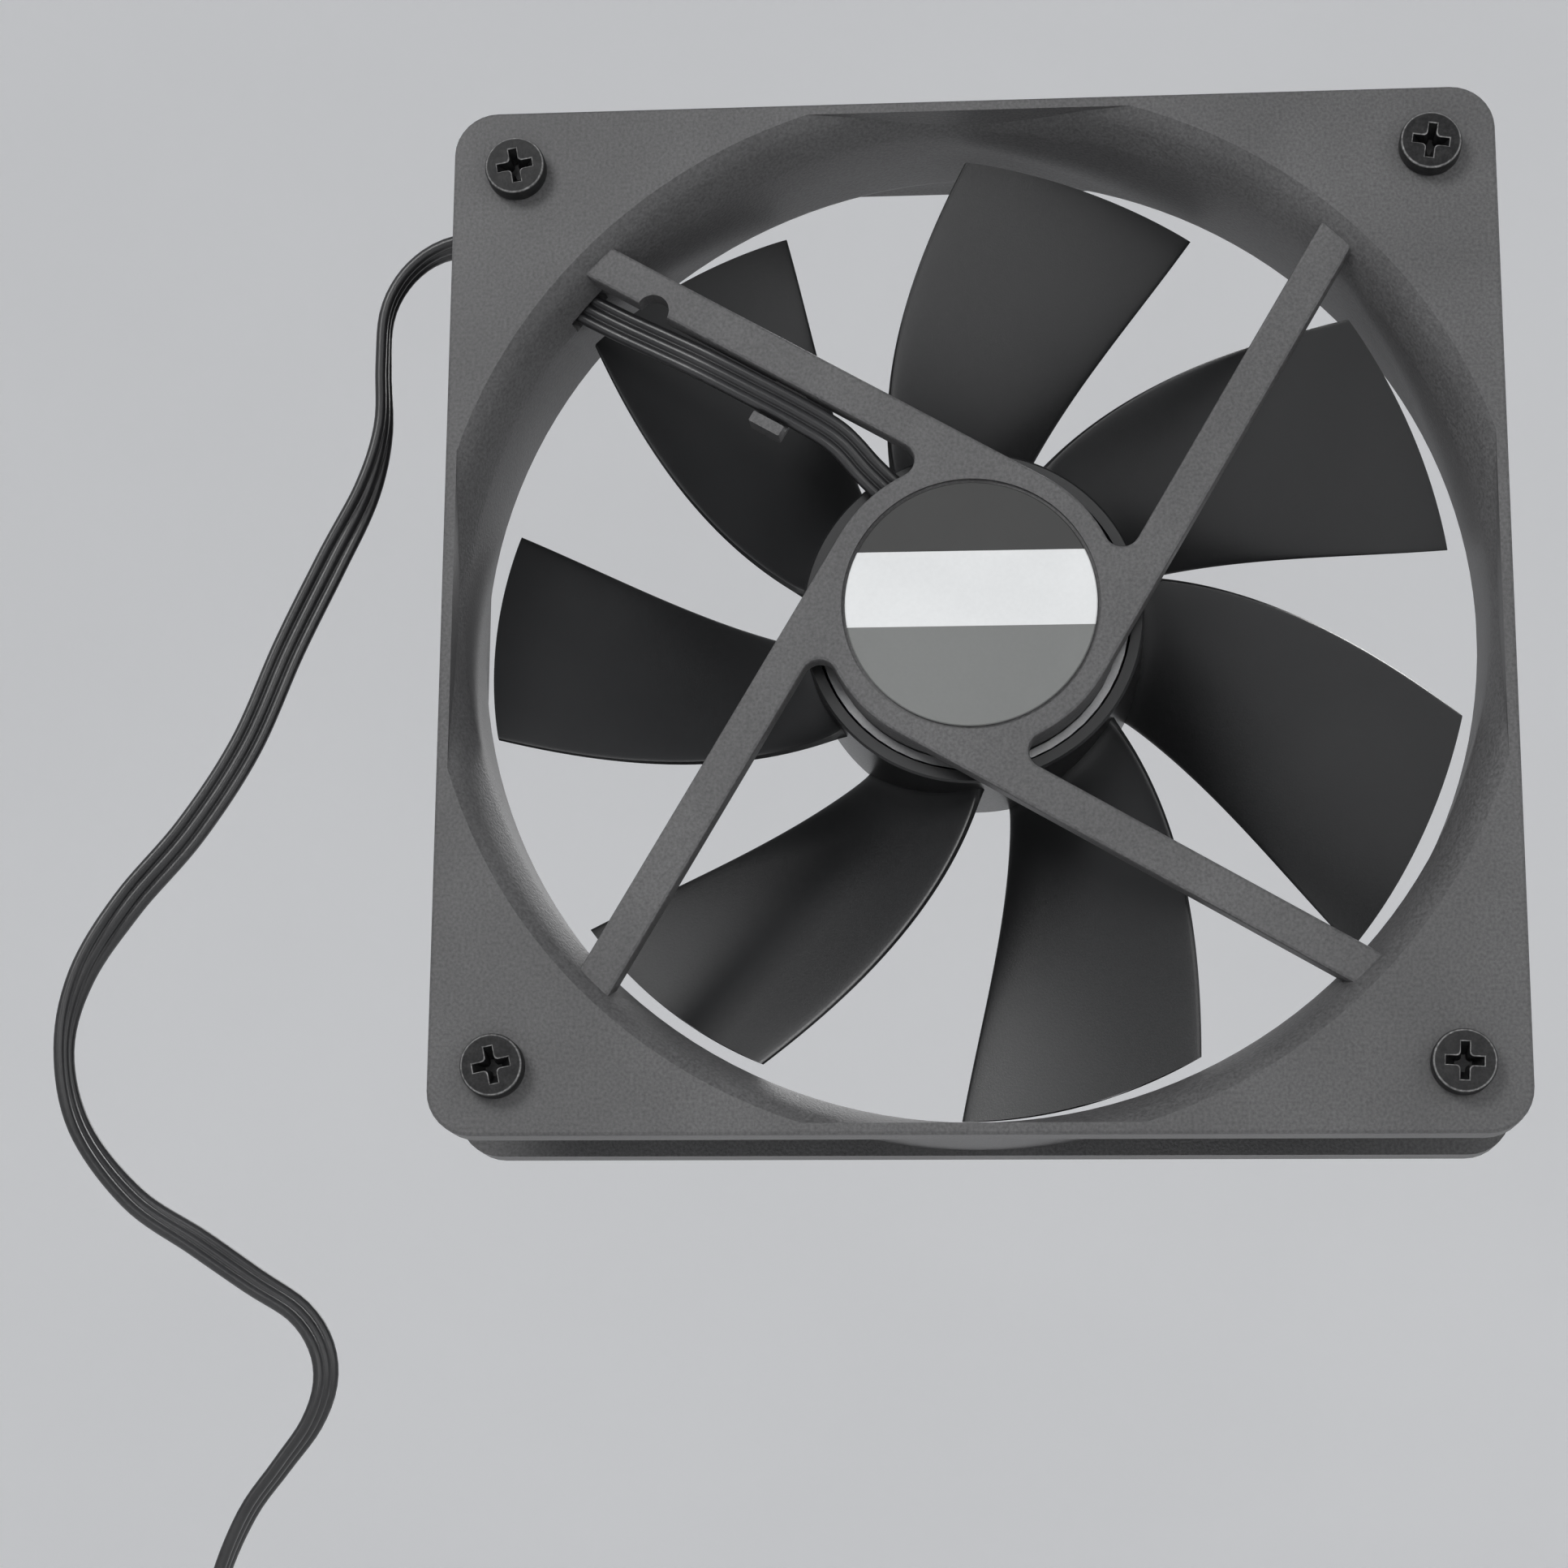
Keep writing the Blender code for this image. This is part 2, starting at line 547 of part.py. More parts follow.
def build_frame(material):
    """The housing: square flanges, ring, flared bore, struts and the motor's base in one moulding."""
    outline = rounded_rectangle(FRAME_SIDE, FRAME_SIDE, CORNER_RADIUS)
    frame = make_object("frame", prism(outline, 0.0, FRAME_DEPTH), material)
    cut(frame, pocket_tool())
    cut(frame, disc(BORE_RADIUS, -FRAME_DEPTH, 2.0 * FRAME_DEPTH, BORE_STEPS))
    cut(frame, flare_tool(0.0, 1.0))
    cut(frame, flare_tool(FRAME_DEPTH, -1.0))
    for place in screw_places().values():
        hole = prism(circle(HOLE_RADIUS, SMALL_STEPS), -FRAME_DEPTH, 2.0 * FRAME_DEPTH)
        shift = Matrix.Translation((place[0], 0.0, place[1]))
        cut(frame, make_object("tool", turned(hole, shift)))
    spider = make_object("tool", prism(spider_outline(), STRUT_FRONT, SPIDER_BACK))
    rim = [
        (HUB_RADIUS, SPIDER_BACK - SEAT_GAP),
        (HUB_RADIUS, BASE_RIM_TOP),
        (BASE_INNER_RADIUS, BASE_RIM_TOP),
        (BASE_INNER_RADIUS, SPIDER_BACK - SEAT_GAP),
    ]
    join(spider, make_object("tool", revolve(rim, ROUND_STEPS)))
    cut(spider, disc(BASE_INNER_RADIUS, BASE_FLOOR_TOP, BASE_RIM_TOP + SEAT_GAP, ROUND_STEPS))
    cut(spider, disc(LABEL_RECESS_RADIUS, 0.0, LABEL_FLOOR, ROUND_STEPS))
    cut(spider, disc(TUBE_OUTER + SEAT_GAP, 0.0, BASE_RIM_TOP, SMALL_STEPS))
    lead_hook(spider)
    notch = disc(STRUT_NOTCH_RADIUS, 0.0, FLARE_DEPTH, SMALL_STEPS)
    place = beside_lead_strut(STRUT_NOTCH_PLACE, STRUT_INNER)
    notch.data.transform(Matrix.Translation((place.x, 0.0, place.y)))
    cut(spider, notch)
    join(frame, spider)
    slot = 2.0 * (LEAD_HALF_WIDTH + LEAD_SLOT_SLACK)
    rim_distance, rim_offset, rim_depth, _ = INNER_ROUTE[1]
    rim_low = rim_depth - WIRE_RADIUS - SEAT_GAP
    rim_high = rim_low + RIM_NOTCH_HEIGHT
    cut(frame, box_along_lead(rim_distance, rim_offset, slot + slot, slot, rim_low, rim_high))
    ring_distance, ring_offset, ring_depth, _ = INNER_ROUTE[-2]
    low = ring_depth - WIRE_RADIUS - LEAD_SLOT_SLACK / 2.0
    high = ring_depth + WIRE_RADIUS + LEAD_SLOT_SLACK / 2.0
    cut(frame, box_along_lead(ring_distance, ring_offset, slot, slot, low, high))
    return frame


def blade_point(radius, share, side):
    """One point of a blade: share runs from the trailing edge (0) to the leading edge (1)."""
    span = (radius - ROTOR_HUB_RADIUS) / (BLADE_TIP_RADIUS - ROTOR_HUB_RADIUS)
    chord = BLADE_CHORD_ROOT + (BLADE_CHORD_TIP - BLADE_CHORD_ROOT) * span
    trail = BLADE_TRAIL_ROOT + (BLADE_TRAIL_TIP - BLADE_TRAIL_ROOT) * span
    lead = BLADE_LEAD_ROOT + (BLADE_LEAD_TIP - BLADE_LEAD_ROOT) * span
    thickness = BLADE_ROOT_THICKNESS + (BLADE_TIP_THICKNESS - BLADE_ROOT_THICKNESS) * span
    rise = share + BLADE_CAMBER * share * (1.0 - share)
    slope = 1.0 + BLADE_CAMBER * (1.0 - 2.0 * share)
    tangent = Vector((-chord * radius, (lead - trail) * slope)).normalized()
    half = thickness * (0.3 + 0.7 * math.sqrt(max(0.0, math.sin(math.pi * share)))) / 2.0
    normal = Vector((tangent.y, -tangent.x)) * half * side
    trailing = BLADE_START - BLADE_SWEEP * span + BLADE_SWEEP_EASE * span * span
    angle = trailing - chord * share + normal.x / radius
    level = trail + (lead - trail) * rise + normal.y
    return (radius * math.cos(angle), level, radius * math.sin(angle))


def blade_shape(chord_steps=8, span_steps=8):
    """One closed blade, lofted from the hub wall out to the tip."""
    shape = bmesh.new()
    rings = []
    root = ROTOR_HUB_RADIUS - BLADE_EMBED
    for station in range(span_steps + 1):
        radius = root + (BLADE_TIP_RADIUS - root) * station / span_steps
        shares = [index / chord_steps for index in range(chord_steps + 1)]
        ring = [blade_point(radius, share, 1.0) for share in shares]
        ring += [blade_point(radius, share, -1.0) for share in reversed(shares)]
        rings.append([shape.verts.new(point) for point in ring])
    stitch(shape, rings)
    shape.faces.new(rings[0])
    shape.faces.new(rings[-1])
    bmesh.ops.triangulate(shape, faces=shape.faces)
    return shape


def build_impeller(material):
    """Hub cup with its shaft boss, and the ring of swept blades."""
    edge = ROTOR_HUB_RADIUS - ROTOR_EDGE_ROUND
    inner = ROTOR_HUB_RADIUS - ROTOR_HUB_WALL
    bore = SHAFT_RADIUS + SEAT_GAP
    profile = [(inner, ROTOR_BOTTOM), (ROTOR_HUB_RADIUS, ROTOR_BOTTOM)]
    crown = circle_arc((edge, ROTOR_TOP - ROTOR_EDGE_ROUND), ROTOR_EDGE_ROUND, 0.0, math.pi / 2.0, 4)
    profile += crown
    profile += [(0.0, ROTOR_TOP), (0.0, ROTOR_CEILING), (bore, ROTOR_CEILING)]
    profile += [(bore, BOSS_BOTTOM), (BOSS_RADIUS, BOSS_BOTTOM)]
    profile += [(BOSS_RADIUS, ROTOR_CEILING), (inner, ROTOR_CEILING)]
    impeller = make_object("impeller", revolve(profile, HUB_STEPS), material)
    for index in range(BLADE_COUNT):
        turn = about_axis(index * 2.0 * math.pi / BLADE_COUNT)
        join(impeller, make_object("tool", turned(blade_shape(), turn)))
    return impeller


def build_rotor(finishes):
    """The pieces that turn: impeller, steel yoke, magnet, shaft, slinger and retaining clip."""
    axis = bpy.data.objects.new("rotor_axis", None)
    bpy.context.scene.collection.objects.link(axis)
    yoke_inner = YOKE_OUTER - YOKE_WALL
    yoke_hole = BOSS_RADIUS + SEAT_GAP
    yoke = [
        (yoke_inner, YOKE_BOTTOM),
        (YOKE_OUTER, YOKE_BOTTOM),
        (YOKE_OUTER, YOKE_TOP),
        (yoke_hole, YOKE_TOP),
        (yoke_hole, YOKE_TOP - YOKE_WALL),
        (yoke_inner, YOKE_TOP - YOKE_WALL),
    ]
    shaft_top = ROTOR_CEILING - SEAT_GAP
    neck = SHAFT_RADIUS - SHAFT_GROOVE
    groove_low = CLIP_BOTTOM - SEAT_GAP
    groove_high = CLIP_BOTTOM + CLIP_THICKNESS + SEAT_GAP
    shaft = [(0.0, SHAFT_BOTTOM), (neck, SHAFT_BOTTOM)]
    shaft += [(SHAFT_RADIUS, SHAFT_BOTTOM + SHAFT_GROOVE / 2.0)]
    shaft += [(SHAFT_RADIUS, groove_low), (neck, groove_low), (neck, groove_high)]
    shaft += [(SHAFT_RADIUS, groove_high), (SHAFT_RADIUS, shaft_top), (0.0, shaft_top)]
    slinger_low = BEARING_TOP + SEAT_GAP
    ring = sleeve(
        circle(MAGNET_OUTER, ROUND_STEPS),
        circle(MAGNET_INNER, ROUND_STEPS),
        MAGNET_BOTTOM,
        MAGNET_TOP,
    )
    washer = sleeve(
        circle(SLINGER_RADIUS, SMALL_STEPS),
        circle(SHAFT_RADIUS + SEAT_GAP, SMALL_STEPS),
        slinger_low,
        slinger_low + SLINGER_THICKNESS,
    )
    pieces = [
        build_impeller(finishes["blade_plastic"]),
        make_object("rotor_yoke", revolve(yoke, ROUND_STEPS), finishes["steel"]),
        make_object("rotor_magnet", ring, finishes["magnet"]),
        make_object("rotor_shaft", revolve(shaft, SMALL_STEPS), finishes["steel"]),
        make_object("oil_slinger", washer, finishes["nylon"]),
        build_clip(finishes["nylon"], neck),
    ]
    for piece in pieces:
        piece.parent = axis


def build_clip(material, neck):
    """Push-on retaining ring with relief slots in its bore."""
    bore = neck + SEAT_GAP
    clip_top = CLIP_BOTTOM + CLIP_THICKNESS
    shape = sleeve(circle(CLIP_RADIUS, SMALL_STEPS), circle(bore, SMALL_STEPS), CLIP_BOTTOM, clip_top)
    clip = make_object("retaining_clip", shape, material)
    middle = (bore + CLIP_RADIUS) / 2.0
    for index in range(3):
        slot = rounded_rectangle(middle, CLIP_SLOT, CLIP_SLOT / 4.0, 2)
        move = about_axis(index * 2.0 * math.pi / 3.0) @ Matrix.Translation((middle / 2.0, 0.0, 0.0))
        tool = turned(prism(slot, CLIP_BOTTOM - SEAT_GAP, clip_top + SEAT_GAP), move)
        cut(clip, make_object("tool", tool))
    return clip


def build_bearing(finishes):
    """Bearing tube, sintered sleeve and the cap that closes the tube under the label."""
    tube = sleeve(
        circle(TUBE_OUTER, SMALL_STEPS),
        circle(TUBE_INNER, SMALL_STEPS),
        TUBE_BOTTOM,
        TUBE_TOP,
    )
    make_object("bearing_tube", tube, finishes["brass"])
    liner = sleeve(
        circle(BEARING_RADIUS, SMALL_STEPS),
        circle(BEARING_BORE, SMALL_STEPS),
        BEARING_BOTTOM,
        BEARING_TOP,
    )
    make_object("sleeve_bearing", liner, finishes["bronze"])
    cap = prism(circle(BEARING_RADIUS, SMALL_STEPS), TUBE_BOTTOM, CAP_TOP)
    make_object("thrust_cap", cap, finishes["nylon"])


def stator_outline(tooth_width, shoe_inner, shoe_outer, half_angle):
    """Collar with four teeth that end in curved shoes."""
    collar = CORE_INNER + CORE_COLLAR
    points = []
    for index in range(POLE_COUNT):
        middle = index * 2.0 * math.pi / POLE_COUNT
        next_middle = middle + 2.0 * math.pi / POLE_COUNT
        foot = math.asin(tooth_width / 2.0 / collar)
        neck = math.asin(tooth_width / 2.0 / shoe_inner)
        points += circle_arc((0.0, 0.0), shoe_inner, middle - neck, middle - half_angle, 3)
        points += circle_arc((0.0, 0.0), shoe_outer, middle - half_angle, middle + half_angle, 8)
        points += circle_arc((0.0, 0.0), shoe_inner, middle + half_angle, middle + neck, 3)
        points += circle_arc((0.0, 0.0), collar, middle + foot, next_middle - foot, 3)
    return points


def build_stator_plate(name, outline, bottom, top, material):
    """One stator piece cut from the toothed outline, with the bore for the bearing tube."""
    plate = make_object(name, prism(outline, bottom, top), material)
    cut(plate, disc(CORE_INNER, bottom - SEAT_GAP, top + SEAT_GAP, SMALL_STEPS))


def build_stator(finishes):
    """Laminated core, its two end insulators and a winding on each tooth."""
    shoe_inner = CORE_OUTER - SHOE_DEPTH
    core = stator_outline(TOOTH_WIDTH, shoe_inner, CORE_OUTER, SHOE_HALF_ANGLE)
    build_stator_plate("stator_core", core, CORE_BOTTOM, CORE_TOP, finishes["steel"])
    lip_width = TOOTH_WIDTH + 2.0 * INSULATOR_LIP
    lip = stator_outline(lip_width, shoe_inner, shoe_inner + SHOE_DEPTH / 2.0, SHOE_HALF_ANGLE)
    lower_top = INSULATOR_BASE + INSULATOR_THICKNESS
    upper_bottom = INSULATOR_CROWN - INSULATOR_THICKNESS
    build_stator_plate("insulator_lower", lip, INSULATOR_BASE, lower_top, finishes["nylon"])
    build_stator_plate("insulator_upper", lip, upper_bottom, INSULATOR_CROWN, finishes["nylon"])
    hole_width = lip_width + 2.0 * SEAT_GAP
    hole_height = INSULATOR_CROWN - INSULATOR_BASE + 2.0 * SEAT_GAP
    inner = rounded_rectangle(hole_width, hole_height, SEAT_GAP)
    outer_width = hole_width + 2.0 * WINDING_WALL
    outer = rounded_rectangle(outer_width, hole_height + 2.0 * WINDING_WALL, WINDING_ROUND)
    middle = (INSULATOR_BASE + INSULATOR_CROWN) / 2.0
    stand = Matrix(
        ((0.0, 1.0, 0.0, 0.0), (0.0, 0.0, 1.0, middle), (1.0, 0.0, 0.0, 0.0), (0.0, 0.0, 0.0, 1.0))
    )
    for index in range(POLE_COUNT):
        turn = about_axis(index * 2.0 * math.pi / POLE_COUNT)
        ring = turned(sleeve(outer, inner, WINDING_INNER, WINDING_OUTER), turn @ stand)
        make_object(f"winding_{index + 1}", ring, finishes["copper"])


def board_part(name, size, place, material):
    """One component that sits on the circuit board."""
    radius, angle = place
    outline = rounded_rectangle(size[0], size[1], size[2] / 8.0, 2)
    shape = prism(outline, BOARD_TOP + LABEL_GAP, BOARD_TOP + LABEL_GAP + size[2])
    move = about_axis(angle) @ Matrix.Translation((radius, 0.0, 0.0))
    make_object(name, turned(shape, move), material)


def build_electronics(finishes):
    """Circuit board in the hub base, with its Hall driver, capacitor and resistor."""
    board_hole = circle(TUBE_OUTER + SEAT_GAP, ROUND_STEPS)
    board = sleeve(circle(BOARD_RADIUS, ROUND_STEPS), board_hole, BOARD_BOTTOM, BOARD_TOP)
    make_object("circuit_board", board, finishes["board"])
    board_part("hall_driver_chip", CHIP_SIZE, CHIP_PLACE, finishes["chip"])
    board_part("board_capacitor", CAPACITOR_SIZE, CAPACITOR_PLACE, finishes["ceramic"])
    board_part("board_resistor", RESISTOR_SIZE, RESISTOR_PLACE, finishes["chip"])


def build_label(material):
    """Round label in the recess of the hub base."""
    back = LABEL_FLOOR - LABEL_GAP
    sheet = prism(circle(LABEL_RADIUS, ROUND_STEPS), back - LABEL_THICKNESS, back)
    make_object("hub_label", sheet, material)


def build_screws(material):
    """Four fan screws with flat round heads and cross recesses."""
    shank = HOLE_RADIUS - SHANK_CLEARANCE
    seat = -SEAT_GAP
    top = seat - HEAD_HEIGHT
    profile = [
        (0.0, top),
        (HEAD_RADIUS - HEAD_BEVEL, top),
        (HEAD_RADIUS, top + HEAD_BEVEL),
        (HEAD_RADIUS, seat),
        (shank, seat),
        (shank, SHANK_LENGTH - TIP_LENGTH),
        (shank / 3.0, SHANK_LENGTH),
        (0.0, SHANK_LENGTH),
    ]
    for name, place in screw_places().items():
        screw = make_object(name, revolve(profile, SMALL_STEPS), material)
        for quarter in range(2):
            bar = rounded_rectangle(CROSS_SPAN, CROSS_WIDTH, CROSS_WIDTH / 4.0, 2)
            tool = prism(bar, top - SEAT_GAP, top + CROSS_DEPTH)
            turn = about_axis(CROSS_TURNS[name] + quarter * math.pi / 2.0)
            cut(screw, make_object("tool", turned(tool, turn)))
        screw.location = (place[0], 0.0, place[1])


def lead_section():
    """Outline of the lead across its run: three fused round wires."""
    first = -WIRE_PITCH * (WIRE_COUNT - 1) / 2.0
    upper = []
    for index in range(WIRE_COUNT):
        centre = (first + index * WIRE_PITCH, 0.0)
        upper += circle_arc(centre, WIRE_RADIUS, math.radians(125.0), math.radians(55.0), 1)
    lower = [(x, -z) for x, z in reversed(upper)]
    return [(-LEAD_HALF_WIDTH, 0.0)] + upper + [(LEAD_HALF_WIDTH, 0.0)] + lower


def smooth_route(route, step):
    """Points on a smooth curve through a route's own points, about one step apart."""
    knots = [Vector(point) for point in route]
    points = []
    for index in range(len(knots) - 1):
        start = knots[index]
        end = knots[index + 1]
        before = knots[index - 1] if index > 0 else 2.0 * start - end
        after = knots[index + 2] if index + 2 < len(knots) else 2.0 * end - start
        length = (end.xyz - start.xyz).length
        pieces = max(1, round(length / step))
        for piece in range(pieces):
            t = piece / pieces
            bend = (end - before) * t + (2.0 * before - 5.0 * start + 4.0 * end - after) * t * t
            bend += (3.0 * start - before - 3.0 * end + after) * t * t * t
            points.append(start + bend * 0.5)
    points.append(knots[-1])
    return points


def ribbon(points, rolls):
    """Sweep the lead's section along points: each roll turns its width from Y into the XZ plane."""
    shape = bmesh.new()
    section = lead_section()
    rings = []
    last = len(points) - 1
    for index, point in enumerate(points):
        tangent = (points[min(index + 1, last)] - points[max(index - 1, 0)]).normalized()
        edge = Vector((0.0, 1.0, 0.0))
        edge = (edge - tangent * edge.dot(tangent)).normalized()
        flat = tangent.cross(edge)
        width = edge * math.cos(rolls[index]) + flat * math.sin(rolls[index])
        depth = tangent.cross(width)
        rings.append([shape.verts.new(point + width * a + depth * b) for a, b in section])
    stitch(shape, rings)
    shape.faces.new(rings[0])
    shape.faces.new(rings[-1])
    return shape


def run_of_lead(name, route, step, material):
    """One run of the lead along a route of X, Y, Z and roll."""
    curve = smooth_route(route, step)
    points = [item.xyz for item in curve]
    rolls = [math.radians(item.w) for item in curve]
    make_object(name, ribbon(points, rolls), material)


def coil_centre():
    """Centre of the coil: the free run comes down on its left side."""
    x, y, z, _ = FREE_ROUTE[-1]
    return Vector((x + COIL_RADIUS, y, z - COIL_DROP))


def coil_points():
    """Centre line of the coil: a drop, the turns, then an inner bow down to the connector."""
    x, y, z, _ = FREE_ROUTE[-1]
    centre = coil_centre()
    top = z - SEAT_GAP
    drop_steps = 4
    points = [Vector((x, y, top + (centre.z - top) * i / drop_steps)) for i in range(drop_steps)]
    count = round(COIL_TURNS * COIL_STEPS)
    for index in range(count + 1):
        turn = COIL_TURNS * index / count
        radius = COIL_RADIUS - COIL_PITCH * turn
        angle = math.pi + 2.0 * math.pi * turn
        points.append(centre + Vector((radius * math.cos(angle), 0.0, radius * math.sin(angle))))
    bow = (COIL_RADIUS - COIL_PITCH * COIL_TURNS) / 2.0
    for index in range(1, 11):
        angle = math.pi * index / 10
        points.append(centre + Vector((bow + bow * math.cos(angle), 0.0, bow * math.sin(angle))))
    points.append(centre - Vector((0.0, 0.0, COIL_TAIL / 2.0)))
    points.append(centre - Vector((0.0, 0.0, COIL_TAIL)))
    return points


def least_gap(points, thickness):
    """Least clear distance between turns that lie beside each other, measured on the points."""
    apart = COIL_STEPS // 2
    gaps = []
    for index, first in enumerate(points):
        for second in points[index + apart :]:
            gaps.append((second - first).length - thickness)
    return min(gaps)


def build_tie(material):
    """Band that holds two turns of the coil together, a share of a turn past its start."""
    angle = math.pi + 2.0 * math.pi * TIE_SHARE
    outer_turn = COIL_RADIUS - COIL_PITCH * TIE_SHARE
    inner_turn = outer_turn - COIL_PITCH
    height = outer_turn - inner_turn + 2.0 * (WIRE_RADIUS + SEAT_GAP + COIL_PITCH / COIL_STEPS)
    width = 2.0 * (LEAD_HALF_WIDTH + SEAT_GAP)
    inner = rounded_rectangle(width, height, SEAT_GAP)
    outer = rounded_rectangle(width + 2.0 * TIE_WALL, height + 2.0 * TIE_WALL, SEAT_GAP + TIE_WALL)
    band = sleeve(outer, inner, -TIE_WIDTH / 2.0, TIE_WIDTH / 2.0)
    middle = (outer_turn + inner_turn) / 2.0
    place = coil_centre() + Vector((middle * math.cos(angle), 0.0, middle * math.sin(angle)))
    stand = about_axis(angle + math.pi / 2.0) @ Matrix.Rotation(math.pi / 2.0, 4, "Z")
    make_object("lead_tie", turned(band, Matrix.Translation(place) @ stand), material)


def build_connector(finishes):
    """Three-way plug housing that hangs on the lead, with its crimp terminals."""
    centre = coil_centre()
    back = -COIL_TAIL - SEAT_GAP
    body = prism(rounded_rectangle(PLUG_DEPTH, PLUG_WIDTH, PLUG_PITCH / 8.0, 2), 0.0, PLUG_LENGTH)
    down = Matrix(
        ((1.0, 0.0, 0.0, 0.0), (0.0, 0.0, 1.0, 0.0), (0.0, -1.0, 0.0, back), (0.0, 0.0, 0.0, 1.0))
    )
    place = Matrix.Translation(centre) @ down
    housing = make_object("lead_connector", turned(body, place), finishes["plug_plastic"])
    for side in (-0.5, 0.5):
        rib_outline = rounded_rectangle(PLUG_RIB * 2.0, PLUG_RIB_WIDTH, PLUG_RIB / 4.0, 2)
        rib = prism(rib_outline, 0.0, PLUG_LENGTH)
        move = place @ Matrix.Translation((PLUG_DEPTH / 2.0, 0.0, side * PLUG_PITCH * 2.0))
        join(housing, make_object("tool", turned(rib, move)))
    terminal_side = PLUG_CAVITY - 2.0 * TERMINAL_GAP
    lumen = terminal_side - 2.0 * TERMINAL_WALL
    terminal_end = PLUG_LENGTH - SEAT_GAP
    for index in range(WIRE_COUNT):
        across = (index - (WIRE_COUNT - 1) / 2.0) * PLUG_PITCH
        move = place @ Matrix.Translation((0.0, 0.0, across))
        cavity_outline = rounded_rectangle(PLUG_CAVITY, PLUG_CAVITY, TERMINAL_GAP, 2)
        cavity = prism(cavity_outline, -SEAT_GAP, PLUG_LENGTH + SEAT_GAP)
        cut(housing, make_object("tool", turned(cavity, move)))
        tube = sleeve(
            rounded_rectangle(terminal_side, terminal_side, TERMINAL_GAP, 2),
            rounded_rectangle(lumen, lumen, TERMINAL_GAP / 2.0, 2),
            terminal_end - TERMINAL_LENGTH,
            terminal_end,
        )
        make_object(f"lead_terminal_{index + 1}", turned(tube, move), finishes["tin"])


def build_lead(finishes):
    """The lead from the board along its strut, out of the corner, and down to its coil and plug."""
    inner = []
    for distance, offset, depth, roll in INNER_ROUTE:
        place = beside_lead_strut(distance, offset)
        inner.append((place.x, depth, place.y, roll))
    run_of_lead("lead_inner", inner, LEAD_STEP / 2.0, finishes["lead"])
    run_of_lead("lead_free", FREE_ROUTE, LEAD_STEP, finishes["lead"])
    points = coil_points()
    make_object("lead_coil", ribbon(points, [0.0] * len(points)), finishes["lead"])
    gap = least_gap(points, 2.0 * WIRE_RADIUS)
    print(f"least gap between the coil's turns: {gap / MM:.2f} mm")
    build_tie(finishes["tie"])
    build_connector(finishes)


def make_finishes():
    """All materials of the fan, with their colours."""
    return {
        "frame_plastic": finish("frame_plastic", (0.045, 0.044, 0.045), 0.62),
        "blade_plastic": finish("blade_plastic", (0.022, 0.024, 0.026), 0.45),
        "label_paper": finish("label_paper", (0.82, 0.83, 0.83), 0.5),
        "screw_black": finish("screw_black", (0.05, 0.05, 0.052), 0.4, 0.8),
        "steel": finish("steel", (0.55, 0.56, 0.57), 0.32, 1.0),
        "magnet": finish("magnet", (0.09, 0.085, 0.08), 0.7),
        "brass": finish("brass", (0.72, 0.55, 0.25), 0.35, 1.0),
        "bronze": finish("bronze", (0.42, 0.3, 0.17), 0.55, 1.0),
        "copper": finish("copper", (0.6, 0.26, 0.12), 0.35, 1.0),
        "nylon": finish("nylon", (0.78, 0.76, 0.7), 0.5),
        "board": finish("board", (0.06, 0.22, 0.1), 0.4),
        "chip": finish("chip", (0.02, 0.02, 0.02), 0.5),
        "ceramic": finish("ceramic", (0.5, 0.38, 0.26), 0.5),
        "lead": finish("lead", (0.016, 0.016, 0.017), 0.38),
        "tie": finish("tie", (0.02, 0.02, 0.02), 0.5),
        "plug_plastic": finish("plug_plastic", (0.02, 0.02, 0.02), 0.45),
        "tin": finish("tin", (0.7, 0.7, 0.68), 0.3, 1.0),
    }


def main():
    """Build the whole fan."""
    clear_scene()
    finishes = make_finishes()
    build_frame(finishes["frame_plastic"])
    build_rotor(finishes)
    build_bearing(finishes)
    build_stator(finishes)
    build_electronics(finishes)
    build_label(finishes["label_paper"])
    build_screws(finishes["screw_black"])
    build_lead(finishes)


main()
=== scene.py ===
"""Looks of a 120 mm case fan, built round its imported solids.

The rotor turns about Y, the exhaust face looks along -Y and Z is up. Sizes in the classes below are in
millimetres, and every piece is scaled to metres when it is put into the scene.
"""

from __future__ import annotations

import json
import logging
import math
from dataclasses import dataclass, field
from enum import Enum

import bmesh
import bpy
from mathutils import Matrix, Vector

